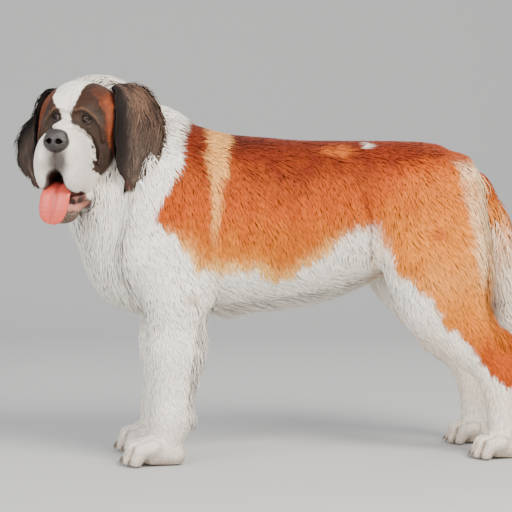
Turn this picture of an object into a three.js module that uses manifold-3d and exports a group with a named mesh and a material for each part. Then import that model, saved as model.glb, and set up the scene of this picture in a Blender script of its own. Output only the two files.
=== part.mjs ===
// A life-size long-haired Saint Bernard that stands square, with its head turned to its left.
// Millimetres, +Z up. The dog faces -X and its left side is -Y. The origin is on the floor, below the
// middle of the whole figure. Inside this file places are given in the body's frame: x = 0 is 470 mm
// behind the tip of the nose, y = 0 is the plane between the left and right legs, z = 0 is the floor.
import * as THREE from "three";
import { mergeVertices } from "three/addons/utils/BufferGeometryUtils.js";
import Module from "manifold-3d";

const wasm = await Module();
wasm.setup();

// Clearance between touching pieces.
const GAP = 0.3;

// The back and belly as stations along the trunk: x, top, bottom, half width.
const TRUNK = [
  [-270, 700, 372, 128],
  [-200, 738, 338, 158],
  [-129, 748, 324, 168],
  [-58, 739, 319, 170],
  [9, 733, 330, 168],
  [102, 726, 338, 164],
  [165, 725, 358, 158],
  [208, 725, 374, 150],
  [255, 725, 397, 143],
  [337, 724, 440, 133],
  [423, 717, 488, 122],
  [453, 701, 528, 106],
];
const KEEL = 0.14;

// Legs: how far out they stand, and the joints' places.
const FORELEG_OUT = 110;
const ELBOW = { x: -188, z: 372 };
const WRIST = { x: -207, z: 106 };
const HINDLEG_OUT = 118;
const STIFLE = { x: 430, z: 355, step: 14 };
const HOCK = { x: 548, z: 183 };
const FOREPAW_X = -222;
const HINDPAW_X = 563;
const HINDPAW_SIZE = 0.9;

// Head: the middle of the skull, the turn of the face from square to the left, and the tilt.
const SKULL = [-393, -52, 778];
const FACE_TURN = THREE.MathUtils.degToRad(20);
const HEAD_TILT = THREE.MathUtils.degToRad(4);
const EYE = { ahead: 79, out: 30, up: -12, radius: 12.5 };
const NOSE = { ahead: 186, up: -65 };

const mix = (a, b, t) => a + (b - a) * t;
const clamp = THREE.MathUtils.clamp;

// Soft shapes. Each is a function of a place, below zero inside, in about millimetres from the surface.
function ball([cx, cy, cz], [rx, ry, rz]) {
  return (x, y, z) => {
    const px = (x - cx) / rx;
    const py = (y - cy) / ry;
    const pz = (z - cz) / rz;
    const far = Math.hypot(px, py, pz);
    const steep = Math.hypot(px / rx, py / ry, pz / rz);
    return steep < 1e-9 ? -Math.min(rx, ry, rz) : (far * (far - 1)) / steep;
  };
}

// A limb between two places, with its thickness at each, drawn out sideways by wide.
function limb(a, b, ra, rb, wide = 1) {
  const along = [b[0] - a[0], (b[1] - a[1]) / wide, b[2] - a[2]];
  const length2 = along[0] ** 2 + along[1] ** 2 + along[2] ** 2;
  return (x, y, z) => {
    const px = x - a[0];
    const py = (y - a[1]) / wide;
    const pz = z - a[2];
    const t = clamp((px * along[0] + py * along[1] + pz * along[2]) / length2, 0, 1);
    const far = Math.hypot(px - t * along[0], py - t * along[1], pz - t * along[2]);
    return (far - mix(ra, rb, t)) * Math.min(1, Math.sqrt(wide));
  };
}

// Joins shapes with a fillet of about the given softness.
function blend(soft, ...shapes) {
  return (x, y, z) => {
    let near = shapes[0](x, y, z);
    for (const shape of shapes.slice(1)) {
      const next = shape(x, y, z);
      const meet = Math.max(soft - Math.abs(near - next), 0) / soft;
      near = Math.min(near, next) - (meet * meet * soft) / 4;
    }
    return near;
  };
}

// A smooth value between stations, as a cubic through them.
function stationed(rows, column, x) {
  let k = 0;
  while (k < rows.length - 2 && x > rows[k + 1][0]) {
    k += 1;
  }
  const slope = (i) => {
    const before = rows[Math.max(i - 1, 0)];
    const after = rows[Math.min(i + 1, rows.length - 1)];
    return (after[column] - before[column]) / (after[0] - before[0]);
  };
  const [a, b] = [rows[k], rows[k + 1]];
  const span = b[0] - a[0];
  const t = clamp((x - a[0]) / span, 0, 1);
  const t2 = t * t;
  const t3 = t2 * t;
  return (
    (2 * t3 - 3 * t2 + 1) * a[column] +
    (t3 - 2 * t2 + t) * span * slope(k) +
    (3 * t2 - 2 * t3) * b[column] +
    (t3 - t2) * span * slope(k + 1)
  );
}

// The trunk: an upright oval at each station, narrower at the keel, round at both ends.
function trunk(x, y, z) {
  const first = TRUNK[0][0];
  const last = TRUNK[TRUNK.length - 1][0];
  const near = clamp(x, first, last);
  const top = stationed(TRUNK, 1, near);
  const bottom = stationed(TRUNK, 2, near);
  const middle = (top + bottom) / 2;
  const high = (top - bottom) / 2;
  const up = clamp((z - middle) / high, -1.4, 1.4);
  const wide = stationed(TRUNK, 3, near) * (1 + KEEL * up * (up < 0 ? 1 : 0.25));
  const size = Math.min(high, wide);
  const round = Math.hypot((z - middle) / high, y / wide) * size;
  return Math.hypot(x - near, round) - size;
}

function bothSides(make) {
  return [make(1), make(-1)];
}

const trunkWithShoulders = blend(
  50,
  trunk,
  ball([-280, 0, 470], [112, 130, 130]),
  ...bothSides((side) => ball([-200, side * 112, 540], [95, 62, 155])),
);

const neck = blend(
  50,
  limb([-200, 0, 612], [-296, 0, 694], 140, 128, 0.84),
  limb([-296, 0, 694], [-372, -18, 762], 128, 97, 0.84),
  ball([-342, -12, 590], [94, 108, 126]),
);

function foreleg(side) {
  const y = side * FORELEG_OUT;
  return blend(
    30,
    limb([-240, side * 104, 460], [ELBOW.x, side * 114, ELBOW.z], 82, 72, 0.8),
    limb([ELBOW.x, side * 114, ELBOW.z], [-196, y, 255], 70, 59, 0.82),
    limb([-196, y, 255], [WRIST.x, y, WRIST.z], 59, 43, 0.92),
    limb([WRIST.x, y, WRIST.z], [FOREPAW_X, y, 46], 43, 38, 1),
  );
}

function hindleg(side) {
  const y = side * HINDLEG_OUT;
  const stifle = [STIFLE.x + side * STIFLE.step, side * 114, STIFLE.z];
  return blend(
    34,
    limb([415, side * 92, 560], [405, side * 108, 440], 115, 125, 0.54),
    limb([405, side * 108, 440], stifle, 120, 90, 0.54),
    limb(stifle, [478, y, 276], 90, 62, 0.62),
    limb([478, y, 276], [HOCK.x, y, HOCK.z], 62, 43, 0.72),
    limb([HOCK.x, y, HOCK.z], [HINDPAW_X - 10, y, 60], 43, 35, 0.86),
    limb([548, y, 275], [586, y, 202], 20, 18, 0.9),
  );
}

const tail = blend(
  24,
  limb([448, 0, 662], [511, 0, 614], 28, 36, 0.95),
  limb([511, 0, 614], [547, 0, 546], 36, 43, 0.95),
  limb([547, 0, 546], [577, 0, 468], 43, 48, 0.95),
  limb([577, 0, 468], [596, 0, 385], 48, 50, 0.95),
  limb([596, 0, 385], [604, 0, 305], 50, 44, 0.95),
  limb([604, 0, 305], [614, 0, 238], 44, 16, 0.95),
);

// Paws: a broad body that reaches back to the heel, and four arched toes. Ahead is towards -X. The outer
// toes stand further back.
const TOE_OUT = [-37, -13, 13, 37];
const OUTER_TOE_SHORT = 14;
const toeShort = (out) => (Math.abs(out) > 20 ? OUTER_TOE_SHORT : 0);

function placeOnPaw(centreX, y, size) {
  return (ahead, out, up) => [centreX - ahead * size, y + out * size, up * size];
}

function paw(centreX, y, size, heel) {
  const place = placeOnPaw(centreX, y, size);
  const toes = TOE_OUT.map((out) => {
    const short = toeShort(out);
    return blend(
      6,
      limb(place(44 - short, out, 44), place(72 - short, out * 1.08, 30), 18 * size, 17 * size),
      limb(place(72 - short, out * 1.08, 30), place(80 - short, out * 1.08, 12), 17 * size, 13 * size),
    );
  });
  return blend(
    12,
    limb(place(-heel, 0, 24), place(24, 0, 34), 27 * size, 36 * size, 1.28),
    ...toes,
  );
}

// The head's own frame: ahead along the face, out to the dog's left, and up.
const ahead = new THREE.Vector3(-Math.sin(FACE_TURN), -Math.cos(FACE_TURN), 0);
const left = new THREE.Vector3(Math.cos(FACE_TURN), -Math.sin(FACE_TURN), 0);
const headFrame = new THREE.Matrix4()
  .makeTranslation(...SKULL)
  .multiply(new THREE.Matrix4().makeBasis(ahead, left, new THREE.Vector3(0, 0, 1)))
  .multiply(new THREE.Matrix4().makeRotationX(-HEAD_TILT));
const headInverse = headFrame.clone().invert();

function onHead(f, l, u) {
  return new THREE.Vector3(f, l, u).applyMatrix4(headFrame);
}

function inHeadFrame(shape) {
  const p = new THREE.Vector3();
  return (x, y, z) => {
    p.set(x, y, z).applyMatrix4(headInverse);
    return shape(p.x, p.y, p.z);
  };
}

// The skull with its brow and cheeks, the bridge of the muzzle, and the lips that hang at its sides.
const upperHead = blend(
  16,
  blend(
    34,
    ball([2, 0, 0], [98, 92, 71]),
    limb([-30, 0, -20], [0, 0, -95], 84, 70, 1.02),
    ...bothSides((side) => ball([22, side * 54, -66], [60, 38, 74])),
  ),
  ...bothSides((side) => ball([74, side * 37, 15], [22, 25, 19])),
  limb([80, 0, -40], [164, 0, -68], 36, 31, 1),
  ball([164, 0, -98], [22, 34, 34]),
  ...bothSides((side) => ball([136, side * 29, -108], [59, 30, 66])),
  ...bothSides((side) => ball([84, side * 40, -118], [44, 22, 54])),
);

const lowerLip = bothSides((side) => blend(
  6,
  limb([139, 0, -188], [124, side * 26, -187], 8, 8),
  limb([124, side * 26, -187], [70, side * 45, -178], 8, 10),
));

const jaw = blend(
  8,
  blend(
    20,
    limb([6, 0, -138], [104, 0, -204], 60, 31, 1),
    ball([114, 0, -212], [28, 31, 24]),
  ),
  ...lowerLip,
);

// The open mouth: a peak below the nose that widens down to the jaw.
const mouth = blend(
  16,
  limb([50, 0, -150], [204, 0, -149], 24, 22, 0.8),
  limb([56, 0, -196], [204, 0, -200], 42, 40, 1.06),
);

function hollowed(shape, hollow) {
  return (x, y, z) => Math.max(shape(x, y, z), -hollow(x, y, z));
}

const nose = blend(
  10,
  ball([NOSE.ahead, 0, NOSE.up], [19, 28, 22]),
  ball([NOSE.ahead - 2, 0, NOSE.up + 16], [14, 22, 12]),
);

// A nostril: a round hole that narrows into a slit to the side.
function nostril(side) {
  const hole = new THREE.SphereGeometry(1, 8, 5).scale(12, 6, 6.5)
    .translate(NOSE.ahead + 20, side * 12, NOSE.up);
  const slit = new THREE.SphereGeometry(1, 6, 4).scale(9, 9, 3.4).rotateX(side * 0.15)
    .translate(NOSE.ahead + 15, side * 21, NOSE.up - 1);
  return placedOnHead(hole).add(placedOnHead(slit));
}

const body = blend(
  30,
  blend(46, trunkWithShoulders, neck, ...bothSides(hindleg)),
  ...bothSides(foreleg),
);

// How far the dense core of the ruff, breeches, belly fringe and elbow feathering lies inside the tips of
// its locks, round a middle and fading out with distance from it.
const LONG_COAT = [
  { depth: 17, over: limb([-330, -10, 745], [-345, 0, 450], 100, 95), fade: 80 },
  { depth: 18, over: limb([560, 0, 600], [560, 0, 340], 70, 60, 2.2), fade: 50 },
  { depth: 11, over: limb([-110, 0, 315], [240, 0, 372], 30, 20, 2.6), fade: 40 },
  { depth: 13, over: limb([-120, 0, 320], [-150, 0, 130], 26, 18, 6), fade: 24 },
];

function coreOf(shape) {
  return (x, y, z) => {
    let inset = 0;
    for (const { depth, over, fade } of LONG_COAT) {
      const share = clamp(1 - over(x, y, z) / fade, 0, 1);
      inset = Math.max(inset, depth * share * share * (3 - 2 * share));
    }
    return shape(x, y, z) + inset;
  };
}

const core = coreOf(body);
const TAIL_COAT = 17;
const tailCore = (x, y, z) => tail(x, y, z) + TAIL_COAT * clamp((x - 500) / 60, 0, 1);
const headOnNeck = blend(30, core, inHeadFrame(blend(14, upperHead, jaw)));

// Draws a place onto the surface of a shape.
function settle(shape, p, rounds, limit) {
  const step = 0.5;
  const start = p.clone();
  for (let k = 0; k < rounds; k += 1) {
    const value = shape(p.x, p.y, p.z);
    const slope = new THREE.Vector3(
      shape(p.x + step, p.y, p.z) - shape(p.x - step, p.y, p.z),
      shape(p.x, p.y + step, p.z) - shape(p.x, p.y - step, p.z),
      shape(p.x, p.y, p.z + step) - shape(p.x, p.y, p.z - step),
    ).divideScalar(2 * step);
    p.addScaledVector(slope, -value / Math.max(slope.lengthSq(), 0.05));
  }
  const moved = p.clone().sub(start);
  if (moved.length() > limit) {
    p.copy(start).addScaledVector(moved, limit / moved.length());
  }
  return p;
}

// The twelve edges of a grid cell as pairs of corners, and the corners round each of its six sides.
const CORNERS = [0, 1, 2, 3, 4, 5, 6, 7].map((c) => [c & 1, (c >> 1) & 1, c >> 2]);
const EDGES = [0, 1, 2].flatMap((axis) =>
  CORNERS.map((_, c) => [c, c | (1 << axis), axis]).filter(([c, d]) => c !== d));
const SIDES = [0, 1, 2].flatMap((axis) => {
  const [u, v] = [1 << ((axis + 1) % 3), 1 << ((axis + 2) % 3)];
  return [0, 1 << axis].map((at) => [at, at | u, at | u | v, at | v]);
});
const edgeBetween = (a, b) => EDGES.findIndex(([c, d]) => c === Math.min(a, b) && d === Math.max(a, b));

// Sorts the edges of a cell that the surface crosses into its separate patches.
function patchesOf(inside) {
  const patch = EDGES.map(([a, b], k) => (inside[a] !== inside[b] ? k : -1));
  const merge = (p, q) => {
    const [from, to] = [patch[p], patch[q]];
    patch.forEach((v, k) => {
      patch[k] = v === from ? to : v;
    });
  };
  for (const side of SIDES) {
    const around = side.map((c, k) => edgeBetween(c, side[(k + 1) % 4]));
    const crossed = around.filter((e) => patch[e] >= 0);
    if (crossed.length === 2) {
      merge(crossed[0], crossed[1]);
    } else if (crossed.length === 4) {
      side.forEach((c, k) => {
        if (inside[c]) {
          merge(around[k], around[(k + 3) % 4]);
        }
      });
    }
  }
  return patch;
}

// How far a wrapped face may leave its shape where that saves faces.
const SLACK = 1.2;

// Wraps a shape in a closed mesh: a corner for each patch of the surface in each cell of a grid.
function wrap(shape, low, high, cell) {
  const n = low.map((v, k) => Math.ceil((high[k] - v) / cell[k]) + 1);
  const index = (i, j, k) => (i * n[1] + j) * n[2] + k;
  const value = new Float64Array(n[0] * n[1] * n[2]).fill(1);
  for (let i = 1; i < n[0] - 1; i += 1) {
    for (let j = 1; j < n[1] - 1; j += 1) {
      for (let k = 1; k < n[2] - 1; k += 1) {
        value[index(i, j, k)] = shape(low[0] + i * cell[0], low[1] + j * cell[1], low[2] + k * cell[2]);
      }
    }
  }
  const cellEdges = new Map();
  const places = [];
  const limit = Math.min(...cell) * 0.7;
  for (let i = 0; i < n[0] - 1; i += 1) {
    for (let j = 0; j < n[1] - 1; j += 1) {
      for (let k = 0; k < n[2] - 1; k += 1) {
        const here = CORNERS.map(([a, b, c]) => value[index(i + a, j + b, k + c)]);
        const inside = here.map((v) => v < 0);
        if (inside.every((v) => v === inside[0])) {
          continue;
        }
        const patch = patchesOf(inside);
        const corner = patch.map(() => -1);
        for (const one of new Set(patch.filter((v) => v >= 0))) {
          const p = new THREE.Vector3();
          let crossings = 0;
          EDGES.forEach(([a, b], e) => {
            if (patch[e] === one) {
              const t = here[a] / (here[a] - here[b]);
              p.x += mix(CORNERS[a][0], CORNERS[b][0], t);
              p.y += mix(CORNERS[a][1], CORNERS[b][1], t);
              p.z += mix(CORNERS[a][2], CORNERS[b][2], t);
              crossings += 1;
              corner[e] = places.length;
            }
          });
          p.divideScalar(crossings);
          p.set(low[0] + (i + p.x) * cell[0], low[1] + (j + p.y) * cell[1], low[2] + (k + p.z) * cell[2]);
          places.push(settle(shape, p, 4, limit));
        }
        cellEdges.set(index(i, j, k), corner);
      }
    }
  }
  const triangles = [];
  const steps = [[1, 0, 0], [0, 1, 0], [0, 0, 1]];
  for (let i = 0; i < n[0] - 1; i += 1) {
    for (let j = 0; j < n[1] - 1; j += 1) {
      for (let k = 0; k < n[2] - 1; k += 1) {
        for (let axis = 0; axis < 3; axis += 1) {
          const [di, dj, dk] = steps[axis];
          const from = value[index(i, j, k)] < 0;
          if (from === value[index(i + di, j + dj, k + dk)] < 0) {
            continue;
          }
          const [uBit, vBit] = [1 << ((axis + 1) % 3), 1 << ((axis + 2) % 3)];
          const [u, v] = [steps[(axis + 1) % 3], steps[(axis + 2) % 3]];
          const cornerIn = (a, b) => {
            const key = index(i - a * u[0] - b * v[0], j - a * u[1] - b * v[1], k - a * u[2] - b * v[2]);
            const at = a * uBit + b * vBit;
            return cellEdges.get(key)[edgeBetween(at, at | (1 << axis))];
          };
          const ring = [cornerIn(1, 1), cornerIn(0, 1), cornerIn(0, 0), cornerIn(1, 0)];
          const [a, b, c, d] = from ? ring : ring.reverse();
          const short = places[a].distanceTo(places[c]) <= places[b].distanceTo(places[d]);
          triangles.push(...(short ? [a, b, c, a, c, d] : [a, b, d, b, c, d]));
        }
      }
    }
  }
  return solid(places, triangles).simplify(SLACK);
}

function solid(places, triangles) {
  const vertProperties = new Float32Array(places.flatMap((p) => [p.x, p.y, p.z]));
  const triVerts = new Uint32Array(triangles);
  return new wasm.Manifold(new wasm.Mesh({ numProp: 3, vertProperties, triVerts }));
}

function solidOfGeometry(geometry) {
  const bare = geometry.clone();
  bare.deleteAttribute("normal");
  bare.deleteAttribute("uv");
  const whole = mergeVertices(bare, 1e-3);
  const places = [];
  for (let k = 0; k < whole.attributes.position.count; k += 1) {
    places.push(new THREE.Vector3().fromBufferAttribute(whole.attributes.position, k));
  }
  return solid(places, Array.from(whole.index.array));
}

// Skins a row of rings of corners, closed at each end. A ring of one corner is a point.
function loft(rings) {
  const places = [];
  const triangles = [];
  const starts = rings.map((ring) => {
    places.push(...ring);
    return places.length - ring.length;
  });
  for (let k = 0; k + 1 < rings.length; k += 1) {
    const [a, b] = [starts[k], starts[k + 1]];
    const n = rings[k].length;
    const pointed = rings[k + 1].length === 1;
    for (let j = 0; j < n; j += 1) {
      const next = (j + 1) % n;
      triangles.push(a + j, a + next, pointed ? b : b + next);
      if (!pointed) {
        triangles.push(a + j, b + next, b + j);
      }
    }
  }
  const cap = (start, n, order) => {
    for (let j = 1; j + 1 < n; j += 1) {
      triangles.push(start, ...(order > 0 ? [start + j, start + j + 1] : [start + j + 1, start + j]));
    }
  };
  cap(starts[0], rings[0].length, -1);
  cap(starts[starts.length - 1], rings[rings.length - 1].length, 1);
  let volume = 0;
  for (let k = 0; k < triangles.length; k += 3) {
    const [a, b, c] = triangles.slice(k, k + 3).map((corner) => places[corner].clone().sub(places[0]));
    volume += a.dot(b.cross(c));
  }
  return solid(places, volume < 0 ? triangles.reverse() : triangles);
}

const vector = (p) => new THREE.Vector3(...p);
const along = (points, t) => new THREE.CatmullRomCurve3(points.map(vector)).getPoint(t);
const headingAlong = (points, t) => new THREE.CatmullRomCurve3(points.map(vector)).getTangent(t);

// The way out of a shape at a place.
function outOf(shape, p) {
  const step = 1;
  return new THREE.Vector3(
    shape(p.x + step, p.y, p.z) - shape(p.x - step, p.y, p.z),
    shape(p.x, p.y + step, p.z) - shape(p.x, p.y - step, p.z),
    shape(p.x, p.y, p.z + step) - shape(p.x, p.y, p.z - step),
  ).normalize();
}

// Steady variation from one lock to the next.
let seed = 7;
function vary(low, high) {
  seed = (seed * 16807) % 2147483647;
  return mix(low, high, seed / 2147483647);
}

// A lock: a flat blade that tapers to a point along its path, with its ridge to the outside.
const LOCK_STEPS = 4;
const LOCK_WIDE = [0.75, 1, 0.85, 0.5];
const LOCK_THICK = [1, 1, 0.85, 0.6];

function blade(path, outs, wide, thick) {
  const rings = [];
  const across = new THREE.Vector3();
  for (let k = 0; k < LOCK_STEPS; k += 1) {
    const on = path[k + 1].clone().sub(path[Math.max(k - 1, 0)]).normalize();
    across.add(new THREE.Vector3().crossVectors(on, outs[k]).normalize());
    across.addScaledVector(on, -on.dot(across)).normalize();
    const up = new THREE.Vector3().crossVectors(across, on).normalize();
    const [w, h] = [wide * 0.5 * LOCK_WIDE[k], thick * 0.5 * LOCK_THICK[k]];
    rings.push([[-w, -h], [w, -h], [0, h]].map(([a, b]) =>
      path[k].clone().addScaledVector(across, a).addScaledVector(up, b)));
  }
  rings.push([path[LOCK_STEPS]]);
  return loft(rings);
}

// A lock's root is sunk in the core. It follows the lie of the coat over the surface, rises to stand the
// lift over the outside of the coat, and falls by the given offset towards its tip.
const LOCK_RISE = [0, 0.4, 0.7, 0.92, 1];

function lock({ inner, outer }, start, lie, { length, wide, thick, lift, fall = [0, 0, 0], sink = 12 }) {
  const p = settle(inner, vector(start), 8, 1000);
  const long = length * vary(0.88, 1.12);
  const broad = wide * vary(0.88, 1.15);
  const sway = vary(-0.25, 0.25);
  const path = [];
  const outs = [];
  for (let k = 0; k <= LOCK_STEPS; k += 1) {
    const out = outOf(inner, p);
    const t = k / LOCK_STEPS;
    const height = k === 0 ? -sink : (lift - outer(p.x, p.y, p.z)) * LOCK_RISE[k];
    path.push(p.clone().addScaledVector(out, height).addScaledVector(vector(fall), t * t));
    outs.push(out);
    const heading = vector(lie(p));
    heading.addScaledVector(out, -heading.dot(out)).normalize();
    heading.applyAxisAngle(out, sway * (0.5 - t)).normalize();
    p.addScaledVector(heading, long / LOCK_STEPS);
    settle(inner, p, 2, 40);
  }
  return blade(path, outs, broad, thick);
}

const coat = { inner: core, outer: body };
const tailCoat = { inner: tailCore, outer: tail };

// The place on a shape's surface that is seen from a place inside it.
function castOut(shape, from, heading) {
  const p = vector(from);
  const on = vector(heading).normalize();
  for (let far = 0; far < 600 && shape(p.x, p.y, p.z) < 0; far += 4) {
    p.addScaledVector(on, 4);
  }
  return settle(shape, p, 6, 30).toArray();
}

const grownLocks = {};

function growLocks(name, layers, starts, lie, size) {
  const locks = starts.map((start) => lock(layers, start, lie, size));
  grownLocks[name] = [...(grownLocks[name] ?? []), ...locks];
}

// A copy whose every face stands off the first by the clearance. Each corner moves along the way that is
// nearest to all of its faces' own ways out.
function grown(whole, clearance) {
  const mesh = whole.getMesh();
  const places = [];
  for (let k = 0; k < mesh.vertProperties.length; k += 3) {
    places.push(new THREE.Vector3(...mesh.vertProperties.slice(k, k + 3)));
  }
  const facings = places.map(() => []);
  for (let k = 0; k < mesh.triVerts.length; k += 3) {
    const [a, b, c] = mesh.triVerts.slice(k, k + 3);
    const facing = places[b].clone().sub(places[a]).cross(places[c].clone().sub(places[a])).normalize();
    [a, b, c].forEach((corner) => facings[corner].push(facing));
  }
  const moved = places.map((place, k) => {
    const out = facings[k].reduce((sum, facing) => sum.add(facing), new THREE.Vector3()).normalize();
    const steepest = () => facings[k].reduce((a, b) => (a.dot(out) < b.dot(out) ? a : b));
    for (let turns = 0; turns < 60; turns += 1) {
      out.addScaledVector(steepest(), 0.5 / (turns + 2)).normalize();
    }
    return place.clone().addScaledVector(out, clearance / Math.max(steepest().dot(out), 0.15));
  });
  return solid(moved, Array.from(mesh.triVerts));
}

// All that lies on the side of a plane that its facing points to, half a gap clear of the plane.
function beyond(point, facing) {
  const reach = 3000;
  const direction = new THREE.Vector3(...facing).normalize();
  const turn = new THREE.Quaternion().setFromUnitVectors(new THREE.Vector3(0, 0, 1), direction);
  const box = new THREE.BoxGeometry(reach, reach, reach).translate(0, 0, reach / 2 + GAP / 2);
  return solidOfGeometry(box.applyQuaternion(turn).translate(...point));
}

function opposite(facing) {
  return facing.map((v) => -v);
}

// Planes that part the body. Each has a place and faces forward, outward or down.
const planes = {
  neckBase: [[-262, 0, 625], [-0.763, 0, 0.646]],
  headBase: [[-352, 8, 742], [-0.72, -0.52, 0.46]],
  chestEnd: [[-70, 0, 520], [-1, 0, 0]],
  loin: [[232, 0, 560], [-1, 0, -0.18]],
};

function facingOf(a, b, c) {
  const [p, q, r] = [a, b, c].map((v) => new THREE.Vector3(...v));
  return q.sub(p).cross(r.sub(p)).normalize().toArray();
}

function legPlane(side) {
  return [[-200, side * 40, 316], [0, side * 0.372, -0.928]];
}

// The room of a foreleg below its plane, with its faces let out by the clearance.
function legSpace(side, clearance) {
  const box = new THREE.BoxGeometry(280, 200, 800).translate(-210, side * (122 - clearance), 100);
  const [point, facing] = legPlane(side);
  return solidOfGeometry(box).intersect(
    beyond(point.map((v, k) => v - facing[k] * (clearance + GAP / 2)), facing));
}

function thighPlane(side) {
  const corners = [[262, side * 150, 425], [450, side * 150, 650], [430, side * 20, 470]];
  const facing = facingOf(...corners);
  return [corners[0], facing[2] > 0 ? opposite(facing) : facing];
}

function within(whole, ...cuts) {
  return cuts.reduce((kept, [point, facing]) => kept.intersect(beyond(point, facing)), whole);
}

function largest(whole) {
  const pieces = whole.decompose();
  return pieces.reduce((a, b) => (a.volume() > b.volume() ? a : b));
}

const flip = ([point, facing]) => [point, opposite(facing)];
const pastPlane = ([point, facing], p) => vector(p).sub(vector(point)).dot(vector(facing).normalize());

const nodes = {};
const FLOOR = [[0, 0, -GAP / 2], [0, 0, 1]];
const PAW_CELL = [14.5, 14.5, 14.5];

// Trunk.
{
  const cell = [52, 48, 48];
  nodes.chest = within(
    wrap(core, [-450, -230, 200], [40, 230, 860], cell),
    flip(planes.neckBase), planes.chestEnd,
  );
  for (const side of [1, -1]) {
    nodes.chest = nodes.chest.subtract(legSpace(side, GAP));
  }
  nodes.barrel = within(
    wrap(core, [-180, -230, 200], [340, 230, 800], cell),
    flip(planes.chestEnd), planes.loin,
  );
  nodes.rump = within(
    wrap(core, [120, -230, 200], [640, 230, 800], cell),
    flip(planes.loin), ...bothSides((side) => flip(thighPlane(side))),
  );
}

nodes.neck = within(
  wrap(headOnNeck, [-520, -210, 380], [-80, 200, 940], [40, 40, 40]),
  planes.neckBase, flip(planes.headBase),
);

for (const [name, side] of [["left", -1], ["right", 1]]) {
  const y = side * FORELEG_OUT;
  const pawTop = [[-222, y, 58], [0.2, 0, -1]];
  nodes[`foreleg_${name}`] = within(
    wrap(core, [-350, y - 110, -10], [-70, y + 110, 440], [26, 24, 44]),
    flip(pawTop),
  ).intersect(legSpace(side, 0));
  nodes[`forepaw_${name}`] = within(
    wrap(blend(12, foreleg(side), paw(FOREPAW_X, y, 1, 22)),
      [-340, y - 80, -40], [-140, y + 80, 100], PAW_CELL),
    pawTop, FLOOR,
  );
  const outHind = side * HINDLEG_OUT;
  const shankTop = [[452, outHind, 312], [0.572, 0, -0.82]];
  const hockTop = [[560, outHind, 160], [0.05, 0, -1]];
  const hindPawTop = [[552, outHind, 60], [0.1, 0, -1]];
  nodes[`thigh_${name}`] = within(
    wrap(core, [200, Math.min(0, side * 240), 220], [640, Math.max(0, side * 240), 780], [38, 30, 40]),
    [[0, side * 20, 0], [0, side, 0]], thighPlane(side), flip(shankTop),
  );
  nodes[`shank_${name}`] = within(
    wrap(core, [360, outHind - 90, 100], [660, outHind + 90, 400], [28, 24, 28]),
    shankTop, flip(hockTop),
  );
  nodes[`hock_${name}`] = within(
    wrap(core, [460, outHind - 80, 0], [640, outHind + 80, 210], [19, 19, 30]),
    hockTop, flip(hindPawTop),
  );
  nodes[`hindpaw_${name}`] = within(
    wrap(blend(12, hindleg(side), paw(HINDPAW_X, outHind, HINDPAW_SIZE, 3)),
      [450, outHind - 80, -40], [640, outHind + 80, 100], PAW_CELL),
    hindPawTop, FLOOR,
  );
}

// Head.
const planeOnHead = (point, facing) => [
  onHead(...point).toArray(),
  new THREE.Vector3(...facing).transformDirection(headFrame).toArray(),
];
const muzzleRoot = planeOnHead([104, 0, 0], [0.98, 0, -0.2]);
const jawRoot = planeOnHead([52, 0, -176], [0.82, 0, -0.57]);
const noseRoot = planeOnHead([180, 0, -60], [1, 0, 0]);

function placedOnHead(geometry) {
  return solidOfGeometry(geometry.applyMatrix4(headFrame));
}

{
  const eyeAt = (side) => [EYE.ahead, side * EYE.out, EYE.up];
  const eyeBall = (side, radius, round) =>
    placedOnHead(new THREE.SphereGeometry(radius, round, round * 0.6).translate(...eyeAt(side)));
  const slit = (side) => placedOnHead(
    new THREE.SphereGeometry(1, 12, 8).scale(16, 10.5, 7.5).rotateX(side * 0.2)
      .translate(EYE.ahead + 15, side * (EYE.out + 1), EYE.up - 0.5),
  );
  let skull = within(
    wrap((x, y, z) => Math.max(headOnNeck(x, y, z), -inHeadFrame(mouth)(x, y, z)),
      [-560, -300, 480], [-220, 100, 900], [25, 25, 25]),
    planes.headBase, flip(muzzleRoot), flip(jawRoot),
  );
  for (const [name, side] of [["left", 1], ["right", -1]]) {
    const lids = eyeBall(side, EYE.radius + 4.5, 12).subtract(slit(side));
    skull = skull.add(lids).subtract(eyeBall(side, EYE.radius + GAP, 10)).subtract(slit(side));
    nodes[`eye_${name}`] = eyeBall(side, EYE.radius, 10);
  }
  nodes.head = skull;
  nodes.muzzle = within(
    wrap(inHeadFrame(hollowed(upperHead, mouth)), [-560, -320, 540], [-340, -60, 840], [19.5, 19.5, 19.5]),
    muzzleRoot,
  );
  nodes.nose = within(
    wrap(inHeadFrame(nose), [-530, -300, 660], [-400, -180, 780], [14, 14, 14]),
    noseRoot,
  ).subtract(nostril(1)).subtract(nostril(-1));
  nodes.lower_jaw = within(
    wrap(inHeadFrame(jaw), [-560, -320, 480], [-320, -40, 720], [18.5, 18.5, 18.5]),
    jawRoot, planes.headBase,
  );
}

// Reads a list of values at a place between its rows, with t from 0 to 1 over the list.
function between(list, t) {
  const row = Math.min(t * (list.length - 1), list.length - 1.001);
  return mix(list[Math.floor(row)], list[Math.floor(row) + 1], row % 1);
}

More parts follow.
